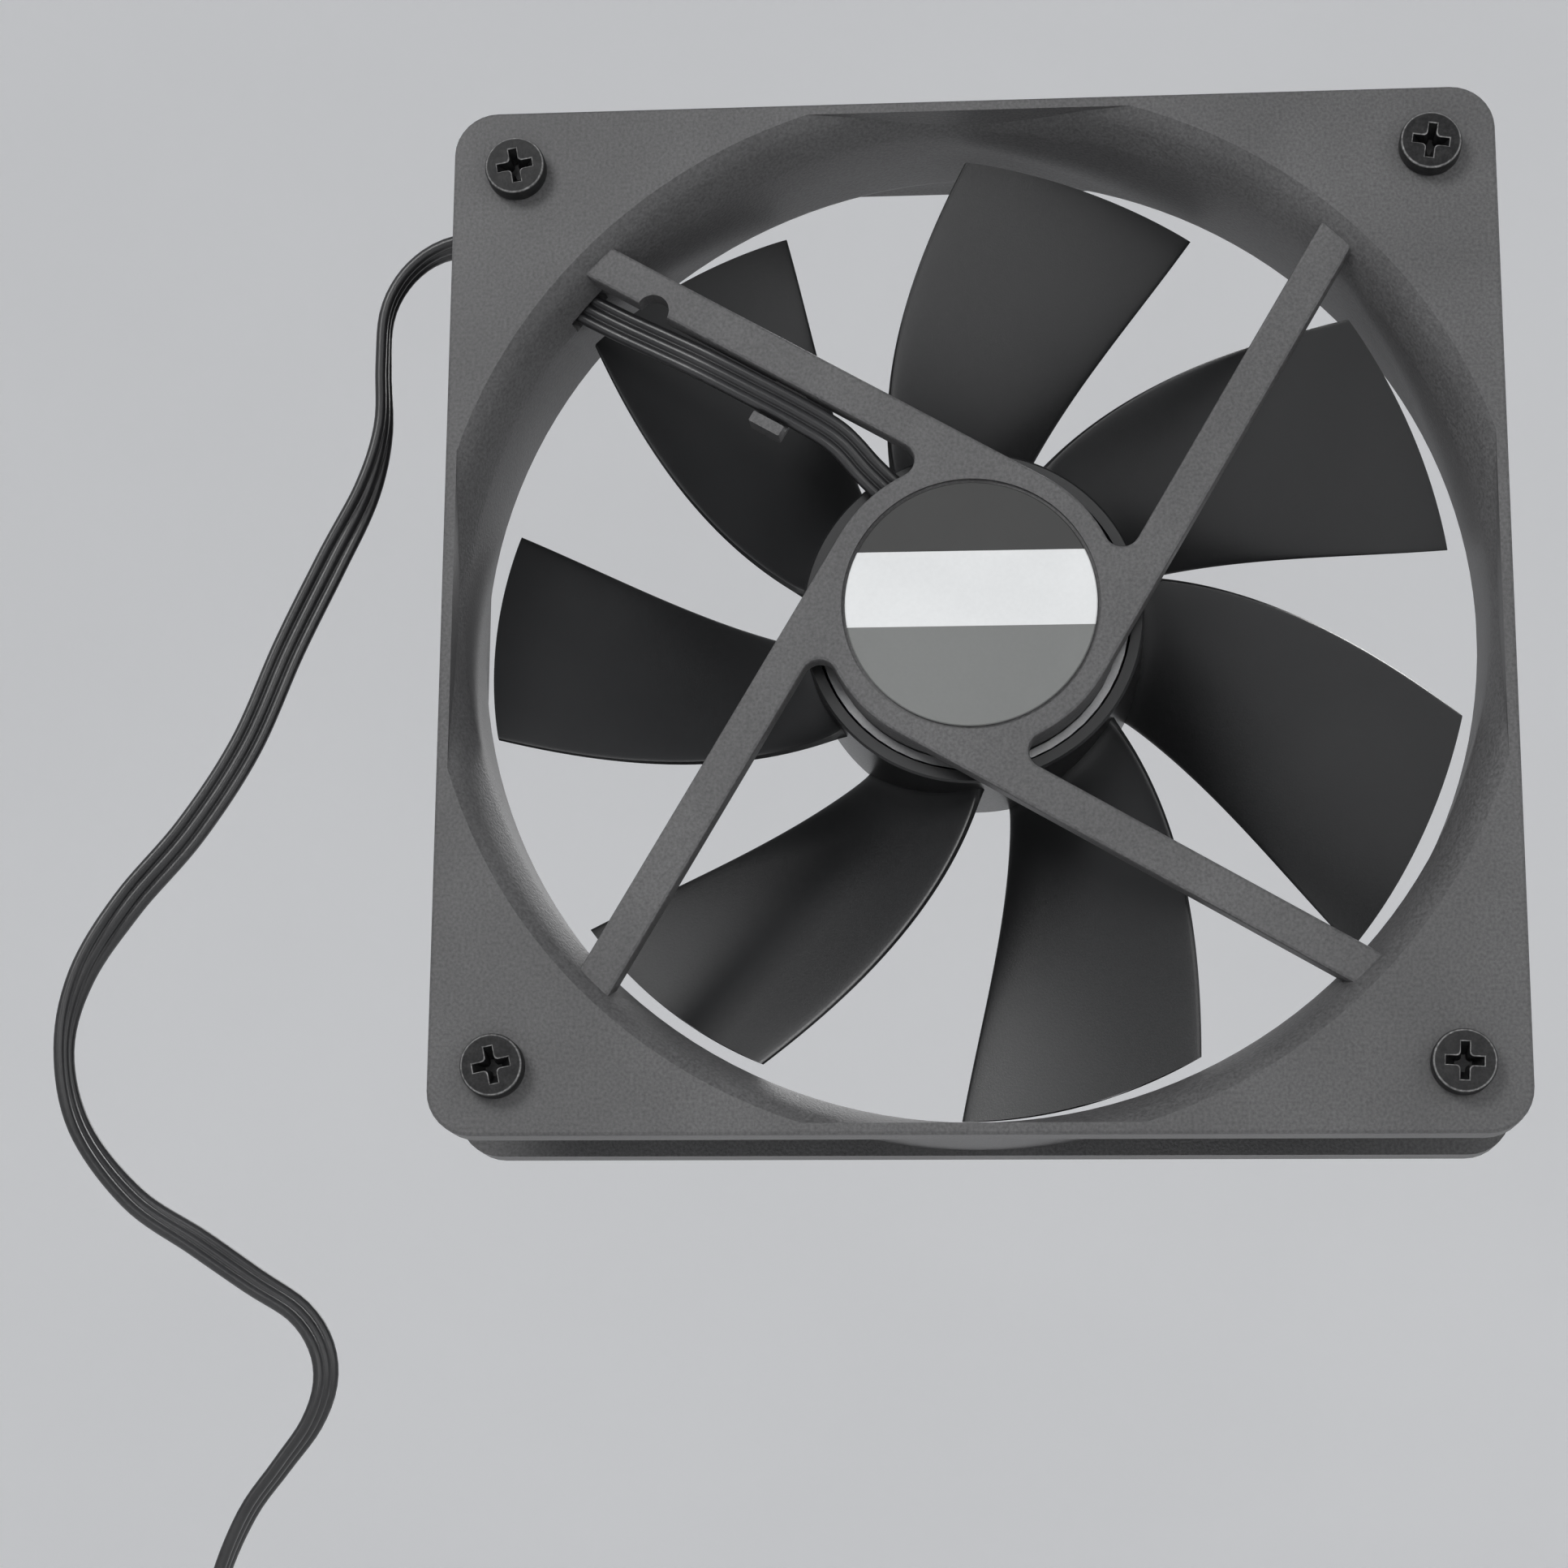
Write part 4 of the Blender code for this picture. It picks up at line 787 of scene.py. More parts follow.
@dataclass
class FrameShell:
    """The housing: two square flanges, the ring, the flared bore, four struts and the motor's base.

    Args:
        side: Width and height.
        depth: Size along the axis.
        corner: Radius of the square's corners.
        flange: Thickness of each flange.
        bore: Radius of the bore.
        ring: Wall of the ring.
        wall: Least wall beside the flare.
        flare: Depth and width of the flare.
        hole: Radius of the mounting holes.
        inset: Distance of the holes from the sides.
        hub: Radius of the motor base.
        strut: Width of a strut.
        slant: Angle of the first strut in degrees.
        levels: Front, back, floor top and rim top of the motor base.
        rim: Wall of the rim.
        recess: Radius and depth of the label's recess.
        tube: Radius of the hole for the bearing tube.
        fillet: Radius between a strut and the base.
        reach: Radius where the struts end.
        edge: Width of the rounded edges.
        hook: Arm and tip of the hook that holds the lead.
        notch: Distance along the strut and radius of the notch in its edge.
        slots: Ways of the lead through the base's rim and through the ring.
        steps: Spans round the bore.
        base_steps: Spans round the motor base.
    """

    side: float = 120.0
    depth: float = 25.0
    corner: float = 5.0
    flange: float = 4.5
    bore: float = 58.0
    ring: float = 1.4
    wall: float = 1.3
    flare: Point2 = (6.0, 3.6)
    hole: float = 2.15
    inset: float = 7.5
    hub: float = 17.0
    strut: float = 4.4
    slant: float = 60.0
    levels: Point4 = (1.5, 4.3, 3.3, 6.2)
    rim: float = 1.4
    recess: Point2 = (14.6, 0.5)
    tube: float = 5.25
    fillet: float = 2.0
    reach: float = 63.5
    edge: float = 0.35
    hook: tuple[Block, Block] = (
        Block(31.0, 10.2, 4.0, 7.4, 3.4, 4.3),
        Block(31.0, 7.15, 4.0, 1.3, 1.5, 4.3),
    )
    notch: Point2 = (49.5, 1.9)
    slots: tuple[Block, Block] = (
        Block(14.5, 7.8, 11.0, 5.5, 4.35, 6.25),
        Block(59.0, 10.2, 5.5, 5.5, 4.75, 6.85),
    )
    steps: int = 144
    base_steps: int = 96

    def along(self, index: int) -> tuple[Vector, Vector]:
        """Directions along a strut, counted from the upper right one, and to its outer edge."""
        angle = math.radians(self.slant) + index * QUARTER
        return Vector((math.cos(angle), math.sin(angle))), Vector((math.sin(angle), -math.cos(angle)))

    def beside(self, distance: float, offset: float) -> Vector:
        """Point at a distance along the upper left strut and an offset across, from the axis."""
        along, across = self.along(1)
        return along * distance + across * offset

    def holes(self) -> dict[str, Point2]:
        """Middles of the mounting holes by their corners.

        Returns:
            The four points in the XZ plane.
        """
        half = self.side / 2.0 - self.inset
        return {
            "top_left": (-half, half),
            "top_right": (half, half),
            "bottom_left": (-half, -half),
            "bottom_right": (half, -half),
        }

    def spider(self) -> list[Point2]:
        """Outline of the base and its four struts.

        Returns:
            The outline.
        """
        points: list[Point2] = []
        inner = self.hub - self.strut
        spans = 9
        for index in range(4):
            along, across = self.along(index)
            points.append(tuple(across * self.hub))
            for edge in (self.hub, inner):
                points.append(tuple(across * edge + along * math.sqrt(self.reach**2 - edge**2)))
            offset = inner - self.fillet
            middle = across * offset + along * math.sqrt((self.hub + self.fillet) ** 2 - offset**2)
            outward = math.atan2(across.y, across.x)
            turn = (outward - math.atan2(-middle.y, -middle.x)) % FULL
            points += arc(tuple(middle), self.fillet, outward, outward - turn, spans)
            start = math.atan2(middle.y, middle.x)
            sweep = (outward + QUARTER - start) % FULL
            points += arc((0.0, 0.0), self.hub, start, start + sweep, spans)[1:-1]
        return points

    def block(self, block: Block) -> Item:
        """Make a block beside the upper left strut.

        Args:
            block: Its place and sizes.

        Returns:
            The block.
        """
        place = self.beside(block.distance, block.offset)
        along, _ = self.along(1)
        turn = about_axis(math.atan2(along.y, along.x))
        outline = rounded(block.length, block.width, min(block.length, block.width) / 8.0, steps=3)
        return tool(prism(outline, block.low, block.high), shifted(place.x, 0.0, place.y) @ turn)

    def disc(self, radius: float, low: float, high: float, steps: int) -> Item:
        """Cylinder about the axis."""
        return tool(prism(circle(radius, steps), low, high))

    def flare_tool(self, face: float, inward: float) -> Item:
        """Cone that opens the bore towards one face, kept inside the side walls.

        Args:
            face: Level of the face.
            inward: Direction into the fan, 1 or -1.

        Returns:
            The cutter.
        """
        depth, width = self.flare
        spans, over = 6, 0.1
        start, end = face + inward * depth * (1.0 + over), face - inward * width
        profile = [(0.0, start), (self.bore - width * over, start)]
        for index in range(spans + 1):
            share = index / spans
            curve = 1.0 - math.sqrt(1.0 - share**2)
            radius = self.bore + width * (curve + share) / 2.0
            profile.append((radius, face + inward * depth * (1.0 - share)))
        profile += [(self.bore + width, end), (0.0, end)]
        cone = tool(revolve(profile, self.steps, Ends.OPEN))
        inner = self.side - 2.0 * self.wall
        square = prism(rounded(inner, inner, self.corner), face - 2.0 * depth, face + 2.0 * depth)
        return combine(cone, tool(square), Boolean.KEEP)

    def base(self) -> Item:
        """The motor's base with its struts, rim, recess and the lead's hook.

        Returns:
            The base, still loose from the frame.
        """
        front, back, floor, top = self.levels
        made = edged(tool(prism(self.spider(), front, back)), self.edge)
        inner = self.hub - self.rim
        overlap = 0.3
        foot = back - overlap
        rim = [(self.hub, foot), (self.hub, top), (inner, top), (inner, foot)]
        combine(made, tool(revolve(rim, self.base_steps)), Boolean.ADD)
        combine(made, self.disc(inner, floor, top + PAST, self.base_steps), Boolean.CUT)
        combine(made, self.disc(self.recess[0], 0.0, front + self.recess[1], self.base_steps), Boolean.CUT)
        combine(made, self.disc(self.tube, 0.0, top, self.base_steps // 2), Boolean.CUT)
        for part in self.hook:
            combine(made, self.block(part), Boolean.ADD)
        distance, radius = self.notch
        place = self.beside(distance, self.hub - self.strut)
        notch = prism(circle(radius, steps=32), 0.0, top)
        return combine(made, tool(notch, shifted(place.x, 0.0, place.y)), Boolean.CUT)

    def build(self) -> None:
        """Make the whole housing."""
        outline = rounded(self.side, self.side, self.corner, steps=8)
        shell = edged(solid("frame_shell", prism(outline, 0.0, self.depth)), self.edge)
        wide, rounding = self.side + PAST, 2.0
        pocket = tool(prism(rounded(wide, wide, rounding), self.flange, self.depth - self.flange))
        combine(pocket, self.disc(self.bore + self.ring, 0.0, self.depth, self.steps), Boolean.CUT)
        combine(shell, pocket, Boolean.CUT)
        combine(shell, self.disc(self.bore, -PAST, self.depth + PAST, self.steps), Boolean.CUT)
        combine(shell, self.flare_tool(0.0, 1.0), Boolean.CUT)
        combine(shell, self.flare_tool(self.depth, -1.0), Boolean.CUT)
        for x, z in self.holes().values():
            hole = prism(circle(self.hole, steps=32), -PAST, self.depth + PAST)
            combine(shell, tool(hole, shifted(x, 0.0, z)), Boolean.CUT)
        combine(shell, self.base(), Boolean.ADD)
        for slot in self.slots:
            combine(shell, self.block(slot), Boolean.CUT)
        cleaned(shell)
        show(shell, "frame_plastic", Body.FRAME, ("frame",), smooth=21.0)


@dataclass
class Impeller:
    """Hub cup and seven swept blades.

    Args:
        count: Number of blades.
        hub: Radius of the cup.
        tip: Radius of the blades' tips.
        low: Level of the cup's rim.
        high: Level of its closed end.
        wall: Wall of the cup.
        roof: Thickness of the closed end and radius of its edge.
        rim: Chamfer of the cup's rim.
        dish: Radius, slope and depth of the shallow dish in the closed end.
        boss: Bore, radius and level of the shaft's boss.
        trail: Level of the trailing edge at root and tip.
        lead: Level of the leading edge at root and tip.
        chord: Angle that a blade covers at root and tip, in degrees.
        sweep: Angle by which the tip trails the root, in degrees.
        ease: Angle that the sweep loses towards the tip, in degrees.
        start: Angle of the first trailing edge at the hub, in degrees.
        camber: Bow of a blade's section.
        thick: Thickness at root and tip.
        blunt: Thickness of the blade's edges as a share of its middle.
        root: Extra thickness at the hub and the length in which it fades.
        sunk: How far a blade reaches into the cup's wall.
        steps: Spans round the cup.
    """

    count: int = 7
    hub: float = 19.5
    tip: float = 56.2
    low: float = 7.0
    high: float = 24.4
    wall: float = 1.4
    roof: float = 1.6
    rim: float = 0.25
    dish: Point3 = (14.2, 0.2, 0.15)
    boss: Point3 = (1.8, 3.6, 18.5)
    trail: Point2 = (10.4, 9.6)
    lead: Point2 = (23.0, 20.4)
    chord: Point2 = (42.0, 28.2)
    sweep: float = 35.4
    ease: float = 8.0
    start: float = 15.2
    camber: float = 0.30
    thick: Point2 = (2.0, 1.3)
    blunt: float = 0.3
    root: Point2 = (1.1, 0.8)
    sunk: float = 0.6
    steps: int = 140

    def point(self, radius: float, share: float, side: float) -> Point3:
        """One point of the first blade.

        Args:
            radius: Distance from the axis.
            share: 0 at the trailing edge and 1 at the leading edge.
            side: 1 or -1 for the two faces.

        Returns:
            The point.
        """
        span = (radius - self.hub) / (self.tip - self.hub)
        chord = math.radians(between(self.chord, span))
        trail = between(self.trail, span)
        rise = between(self.lead, span) - trail
        extra, fade = self.root
        thick = between(self.thick, span) + extra * math.exp(-max(0.0, radius - self.hub) / fade)
        bow = share + self.camber * share * (1.0 - share)
        slope = 1.0 + self.camber * (1.0 - 2.0 * share)
        tangent = Vector((-chord * radius, rise * slope)).normalized()
        full = math.sqrt(max(0.0, math.sin(math.pi * share)))
        half = thick * between((self.blunt, 1.0), full) / 2.0
        off = Vector((tangent.y, -tangent.x)) * half * side
        edge = math.radians(self.start - self.sweep * span + self.ease * span * span)
        angle = edge - chord * share + off.x / radius
        return radius * math.cos(angle), trail + rise * bow + off.y, radius * math.sin(angle)

    def blade(self, chord_steps: int = 26, span_steps: int = 30, crowd: float = 1.25) -> Shape:
        """One closed blade.

        Args:
            chord_steps: Spans from edge to edge.
            span_steps: Spans from root to tip.
            crowd: How much closer the spans lie at the root.

        Returns:
            The blade.
        """
        shares = [0.5 - 0.5 * math.cos(math.pi * index / chord_steps) for index in range(chord_steps + 1)]
        rings = []
        for station in range(span_steps + 1):
            radius = between((self.hub - self.sunk, self.tip), (station / span_steps) ** crowd)
            ring = [self.point(radius, share, 1.0) for share in shares]
            rings.append(ring + [self.point(radius, share, -1.0) for share in reversed(shares)])
        return loft(rings)

    def build(self, repeater: Repeater) -> None:
        """Make the impeller.

        Args:
            repeater: Tree that repeats the blades.
        """
        inner = self.hub - self.wall
        ceiling = self.high - self.roof
        dish, slope, sink = self.dish
        bore, boss, foot = self.boss
        profile = [(inner, self.low), (self.hub - self.rim, self.low), (self.hub, self.low + self.rim)]
        profile += arc((self.hub - self.roof, ceiling), self.roof, 0.0, QUARTER, steps=8)
        profile += [(dish, self.high), (dish - slope, self.high - sink), (0.0, self.high - sink)]
        profile += [(0.0, ceiling), (bore, ceiling), (bore, foot), (boss, foot)]
        profile += [(boss, ceiling), (inner, ceiling)]
        cup = solid("impeller_blades", revolve(profile, self.steps))
        blades = solid("blades", self.blade())
        repeater.repeat(blades, "blade_plastic", self.count, turn=-FULL / self.count)
        joined(cup, blades)
        show(cup, "blade_plastic", Body.ROTOR, ("impeller",), smooth=40.0)


@dataclass
class Label:
    """Round sticker in the recess of the motor's base.

    Args:
        radius: Its radius.
        front: Level of its face.
        back: Level of its glued side.
        soft: Width and depth of its soft edge.
    """

    radius: float = LABEL_RADIUS
    front: float = 1.6
    back: float = 1.9
    soft: Point2 = (0.12, 0.1)

    def build(self) -> None:
        """Make the label with a soft edge."""
        width, depth = self.soft
        profile = [(0.0, self.front), (self.radius - width, self.front), (self.radius, self.front + depth)]
        profile += [(self.radius, self.back), (0.0, self.back)]
        face = solid("label_face", revolve(profile, steps=120, ends=Ends.OPEN))
        show(face, "label_paper", Body.FRAME, ("hub_label",))


@dataclass
class Screw:
    """Fan screw with a flat round head, a cross recess and a thread.

    Args:
        name: Node that it stands for.
        place: Middle of its hole.
        turn: Angle of its cross in degrees.
        head: Radius of the head.
        top: Level of the head's face.
        seat: Level of its underside.
        rim: Points of its round edge: in from the head's radius and down from its face.
        under: Chamfer of its underside.
        shank: Radius of the shank's core.
        length: How far it reaches into the frame.
        tip: Radius and length of its tip.
        thread: Radius of the thread.
        ridge: Start, crest and end of a ridge along the shank.
        ridges: Number of ridges.
        pitch: Distance between ridges.
        first: Level of the first ridge.
        cross: Span, width and depth of the recess.
        taper: Share of its span and width that is left at its bottom.
        fillet: Radius of its inner corners.
        lip: Size of the chamfer round it.
    """

    name: str
    place: Point2
    turn: float
    head: float = 3.5
    top: float = -2.3
    seat: float = -0.05
    rim: tuple[Point2, ...] = ((0.34, 0.0), (0.2, 0.06), (0.07, 0.2), (0.0, 0.4))
    under: float = 0.15
    shank: float = 1.45
    length: float = 10.0
    tip: Point2 = (0.5, 2.2)
    thread: float = 1.8
    ridge: Point4 = (0.0, 0.35, 0.45, 0.8)
    ridges: int = 6
    pitch: float = 1.1
    first: float = 0.8
    cross: Point3 = (4.15, 1.0, 2.3)
    taper: float = 0.45
    fillet: float = 0.45
    lip: float = 0.13

    def recess(self) -> Item:
        """Cutter for the cross, with tapered wings and round inner corners.

        Returns:
            The cutter.
        """
        span, width, depth = self.cross
        turns = [Matrix.Rotation(quarter * QUARTER, 2) for quarter in range(4)]
        # The ring just under the lip keeps the rubbed coat and painted highlight of the lip's edge off the
        # walls
        levels = [(-self.lip, 1.0, 2.0 * self.lip), (self.lip, 1.0, 0.0)]
        levels += [(1.3 * self.lip, 1.0, -0.01), (depth, self.taper, 0.0)]
        rings = []
        for below, share, more in levels:
            outer, inner = share * span / 2.0 + more, share * width / 2.0 + more
            middle = (inner + self.fillet, inner + self.fillet)
            corner = arc(middle, self.fillet, -QUARTER, -2.0 * QUARTER, steps=5)
            wing = [(outer, inner), *corner, (inner, outer)]
            ring = [tuple(turn @ Vector(point)) for turn in turns for point in wing]
            rings.append(at_level(ring, self.top + below))
        return tool(loft(rings))

    def build(self, repeater: Repeater) -> None:
        """Make the screw.

        Args:
            repeater: Tree that repeats the thread's ridges.
        """
        radius, point = self.tip
        profile = [(0.0, self.top)] + [(self.head - aside, self.top + down) for aside, down in self.rim]
        profile += [(self.head, self.seat - self.under), (self.head - self.under, self.seat)]
        profile += [(self.shank, self.seat), (self.shank, self.length - point)]
        profile += [(radius, self.length), (0.0, self.length)]
        made = solid(self.name + "_look", revolve(profile, steps=64, ends=Ends.OPEN))
        combine(made, self.recess(), Boolean.CUT)
        self.mark(made)
        overlap = 0.1
        low = self.shank - overlap
        section = list(zip((low, self.thread, self.thread, low), self.ridge))
        ridge = solid("ridge", revolve(section, steps=40))
        repeater.repeat(ridge, "screw_black", self.ridges, rise=self.pitch)
        ridge.data.transform(shifted(0.0, self.first, 0.0))
        joined(made, ridge)
        x, z = self.place
        made.data.transform(shifted(x, 0.0, z) @ about_axis(math.radians(self.turn)))
        show(made, "screw_black", Body.FRAME, (self.name,), smooth=20.0)

    def mark(self, made: Item) -> None:
        """Mark the cross's edges and the head's rim, where the black coat has rubbed off and a highlight is
        painted.

        Args:
            made: Screw about the axis.
        """
        # Shares of the light edge colour, which is rubbed-off coat and a painted highlight
        lip_rub_and_highlight, rim_rub_and_highlight, near = 1.0, 0.7, 0.02
        reach = 0.6 * self.cross[0]
        aside, down = self.rim[1]
        rub_and_highlight = made.data.attributes.new("rub_and_highlight", "FLOAT", "POINT")
        values = []
        for vertex in made.data.vertices:
            radius = math.hypot(vertex.co.x, vertex.co.z)
            below = vertex.co.y - self.top
            lip = abs(below - self.lip) < near and radius < reach
            rim = abs(below - down) < near and abs(radius - self.head + aside) < near
            values.append(lip_rub_and_highlight if lip else rim_rub_and_highlight if rim else 0.0)
        rub_and_highlight.data.foreach_set("value", values)


@dataclass
class Lead:
    """Flat lead of three fused wires, from the motor to its plug.

    Args:
        wire: Radius of a wire.
        count: Number of wires.
        seam: Angle at which neighbouring wires meet, in degrees.
        upright: Roll of the run beside the strut in degrees.
        inner: Run beside the strut: distance, offset and depth.
        free: Run outside: X, Y, Z and roll in degrees.
        coil: Radius, pitch and number of turns of the spare length.
        drop: Height from the end of the free run to the coil's middle.
        tail: Straight end into the plug.
        length: Length from the frame's corner to the plug, in metres; not used.
    """

    wire: float = 0.65
    count: int = 3
    seam: float = 22.0
    upright: float = 90.0
    inner: tuple[Point3, ...] = (
        (11.0, 8.0, 5.4),
        (14.5, 7.8, 5.3),
        (18.5, 8.6, 4.4),
        (23.0, 9.9, 3.1),
        (28.0, 10.2, 2.7),
        (36.0, 10.2, 2.7),
        (42.0, 10.2, 3.1),
        (47.0, 10.2, 4.1),
        (52.0, 10.2, 5.2),
        (56.0, 10.2, 5.7),
        (59.0, 10.2, 5.8),
        (62.2, 10.2, 5.85),
    )
    free: tuple[Point4, ...] = (
        (-48.86, 5.9, 39.91, 90.0),
        (-50.84, 6.41, 41.69, 84.0),
        (-53.28, 7.33, 44.14, 66.0),
        (-56.76, 8.62, 46.46, 38.0),
        (-60.88, 9.68, 47.31, 14.0),
        (-64.76, 10.5, 46.3, 3.0),
        (-67.99, 11.13, 43.49, 0.0),
        (-69.83, 11.4, 39.22, 0.0),
        (-70.05, 11.71, 32.94, 4.0),
        (-69.9, 12.0, 25.4, 12.0),
        (-71.6, 12.0, 17.8, 34.0),
        (-75.6, 12.0, 9.0, 66.0),
        (-80.2, 12.0, -1.2, 80.0),
        (-84.9, 12.0, -13.0, 82.0),
        (-91.0, 12.0, -23.0, 76.0),
        (-98.0, 12.0, -31.6, 58.0),
        (-103.0, 12.0, -40.0, 28.0),
        (-104.6, 12.0, -48.6, 8.0),
        (-102.2, 12.0, -57.6, 20.0),
        (-95.6, 12.0, -65.6, 36.0),
        (-87.8, 12.0, -70.61, 46.0),
        (-81.23, 12.0, -74.93, 44.0),
        (-76.0, 12.0, -78.25, 38.0),
        (-73.32, 12.0, -82.1, 30.0),
        (-72.71, 12.0, -86.29, 22.0),
        (-74.12, 12.0, -90.71, 16.0),
        (-77.32, 12.0, -95.29, 11.0),
        (-81.0, 12.0, -100.6, 8.0),
        (-83.9, 12.0, -108.2, 2.0),
        (-85.0, 12.0, -117.0, 0.0),
    )
    coil: Point3 = (20.6, 2.0, 1.5)
    drop: float = 27.0
    tail: float = 4.0
    length: float = 0.45

    def section(self) -> list[Point2]:
        """Outline across the lead.

        Returns:
            The outline of the fused wires.
        """
        upper: list[Point2] = []
        first = -self.wire * (self.count - 1)
        seam = math.radians(self.seam)
        for index in range(self.count):
            middle = (first + 2.0 * self.wire * index, 0.0)
            upper += arc(middle, self.wire, math.pi - seam, seam, steps=7)
        edge = self.wire * self.count
        return [(-edge, 0.0)] + upper + [(edge, 0.0)] + [(x, -z) for x, z in reversed(upper)]

    def smooth(self, route: list[Point4], step: float) -> list[Vector]:
        """Points on a smooth curve through a route.

        Args:
            route: Points with roll.
            step: About the distance between points.

        Returns:
            Points with roll.
        """
        knots = [Vector(point) for point in route]
        points = []
        for index in range(len(knots) - 1):
            before, start, end = knots[max(index - 1, 0)], knots[index], knots[index + 1]
            after = knots[min(index + 2, len(knots) - 1)]
            pieces = max(1, round((end.xyz - start.xyz).length / step))
            for piece in range(pieces):
                t = piece / pieces
                bend = (end - before) * t + (2.0 * before - 5.0 * start + 4.0 * end - after) * t * t
                bend += (3.0 * start - before - 3.0 * end + after) * t * t * t
                points.append(start + bend * 0.5)
        points.append(knots[-1])
        return points

    def centre(self) -> Vector:
        """Middle of the coil."""
        x, y, z, _ = self.free[-1]
        return Vector((x + self.coil[0], y, z - self.drop))

    def coiled(self) -> list[Vector]:
        """Centre line of the spare length: a drop, the turns, and a bow down to the plug.

        Returns:
            Points with roll.
        """
        radius, pitch, turns = self.coil
        side, depth, high, _ = self.free[-1]
        middle = self.centre()
        drops, spans, bows, tails = 16, round(turns * 72), 30, 3
        plane = [(side, between((high, middle.z), index / drops)) for index in range(1, drops)]
        for index in range(spans + 1):
            turn = turns * index / spans
            reach = radius - pitch * turn
            angle = math.pi + FULL * turn
            plane.append((middle.x + reach * math.cos(angle), middle.z + reach * math.sin(angle)))
        bow = (radius - pitch * turns) / 2.0
        plane += arc((middle.x + bow, middle.z), bow, 0.0, math.pi, bows)[1:]
        plane += [(middle.x, middle.z - self.tail * index / tails) for index in range(1, tails + 1)]
        return [Vector((x, depth, z, 0.0)) for x, z in plane]

    def sweep(self, name: str, points: list[Vector]) -> Item:
        """Draw the section along points.

        Args:
            name: Name of the object.
            points: Points with roll in degrees.

        Returns:
            The swept object.
        """
        rings = []
        last = len(points) - 1
        for index, point in enumerate(points):
            tangent = (points[min(index + 1, last)].xyz - points[max(index - 1, 0)].xyz).normalized()
            edge = Vector((0.0, 1.0, 0.0))
            edge = (edge - tangent * edge.dot(tangent)).normalized()
            roll = math.radians(point.w)
            width = edge * math.cos(roll) + tangent.cross(edge) * math.sin(roll)
            depth = tangent.cross(width)
            rings.append([point.xyz + width * a + depth * b for a, b in self.section()])
        return solid(name, loft(rings))

    def build(self, shell: FrameShell, pieces: list[Item]) -> None:
        """Args:
            shell: Frame that carries the inner run.
            pieces: Tie, plug and terminals on the free run; not used.
        """
        route = []
        for distance, offset, depth in self.inner:
            place = shell.beside(distance, offset)
            route.append((place.x, depth, place.y, self.upright))
        inner = self.sweep("lead_beside_strut", self.smooth(route, step=0.8))
        show(inner, "lead", Body.FRAME, ("lead_inner",), smooth=75.0)
        points = self.smooth(self.free, step=1.2) + self.coiled()
        run = self.sweep("lead_hanging", points)
        show(run, "lead", Body.FRAME, ("lead_free", "lead_coil"), smooth=75.0)


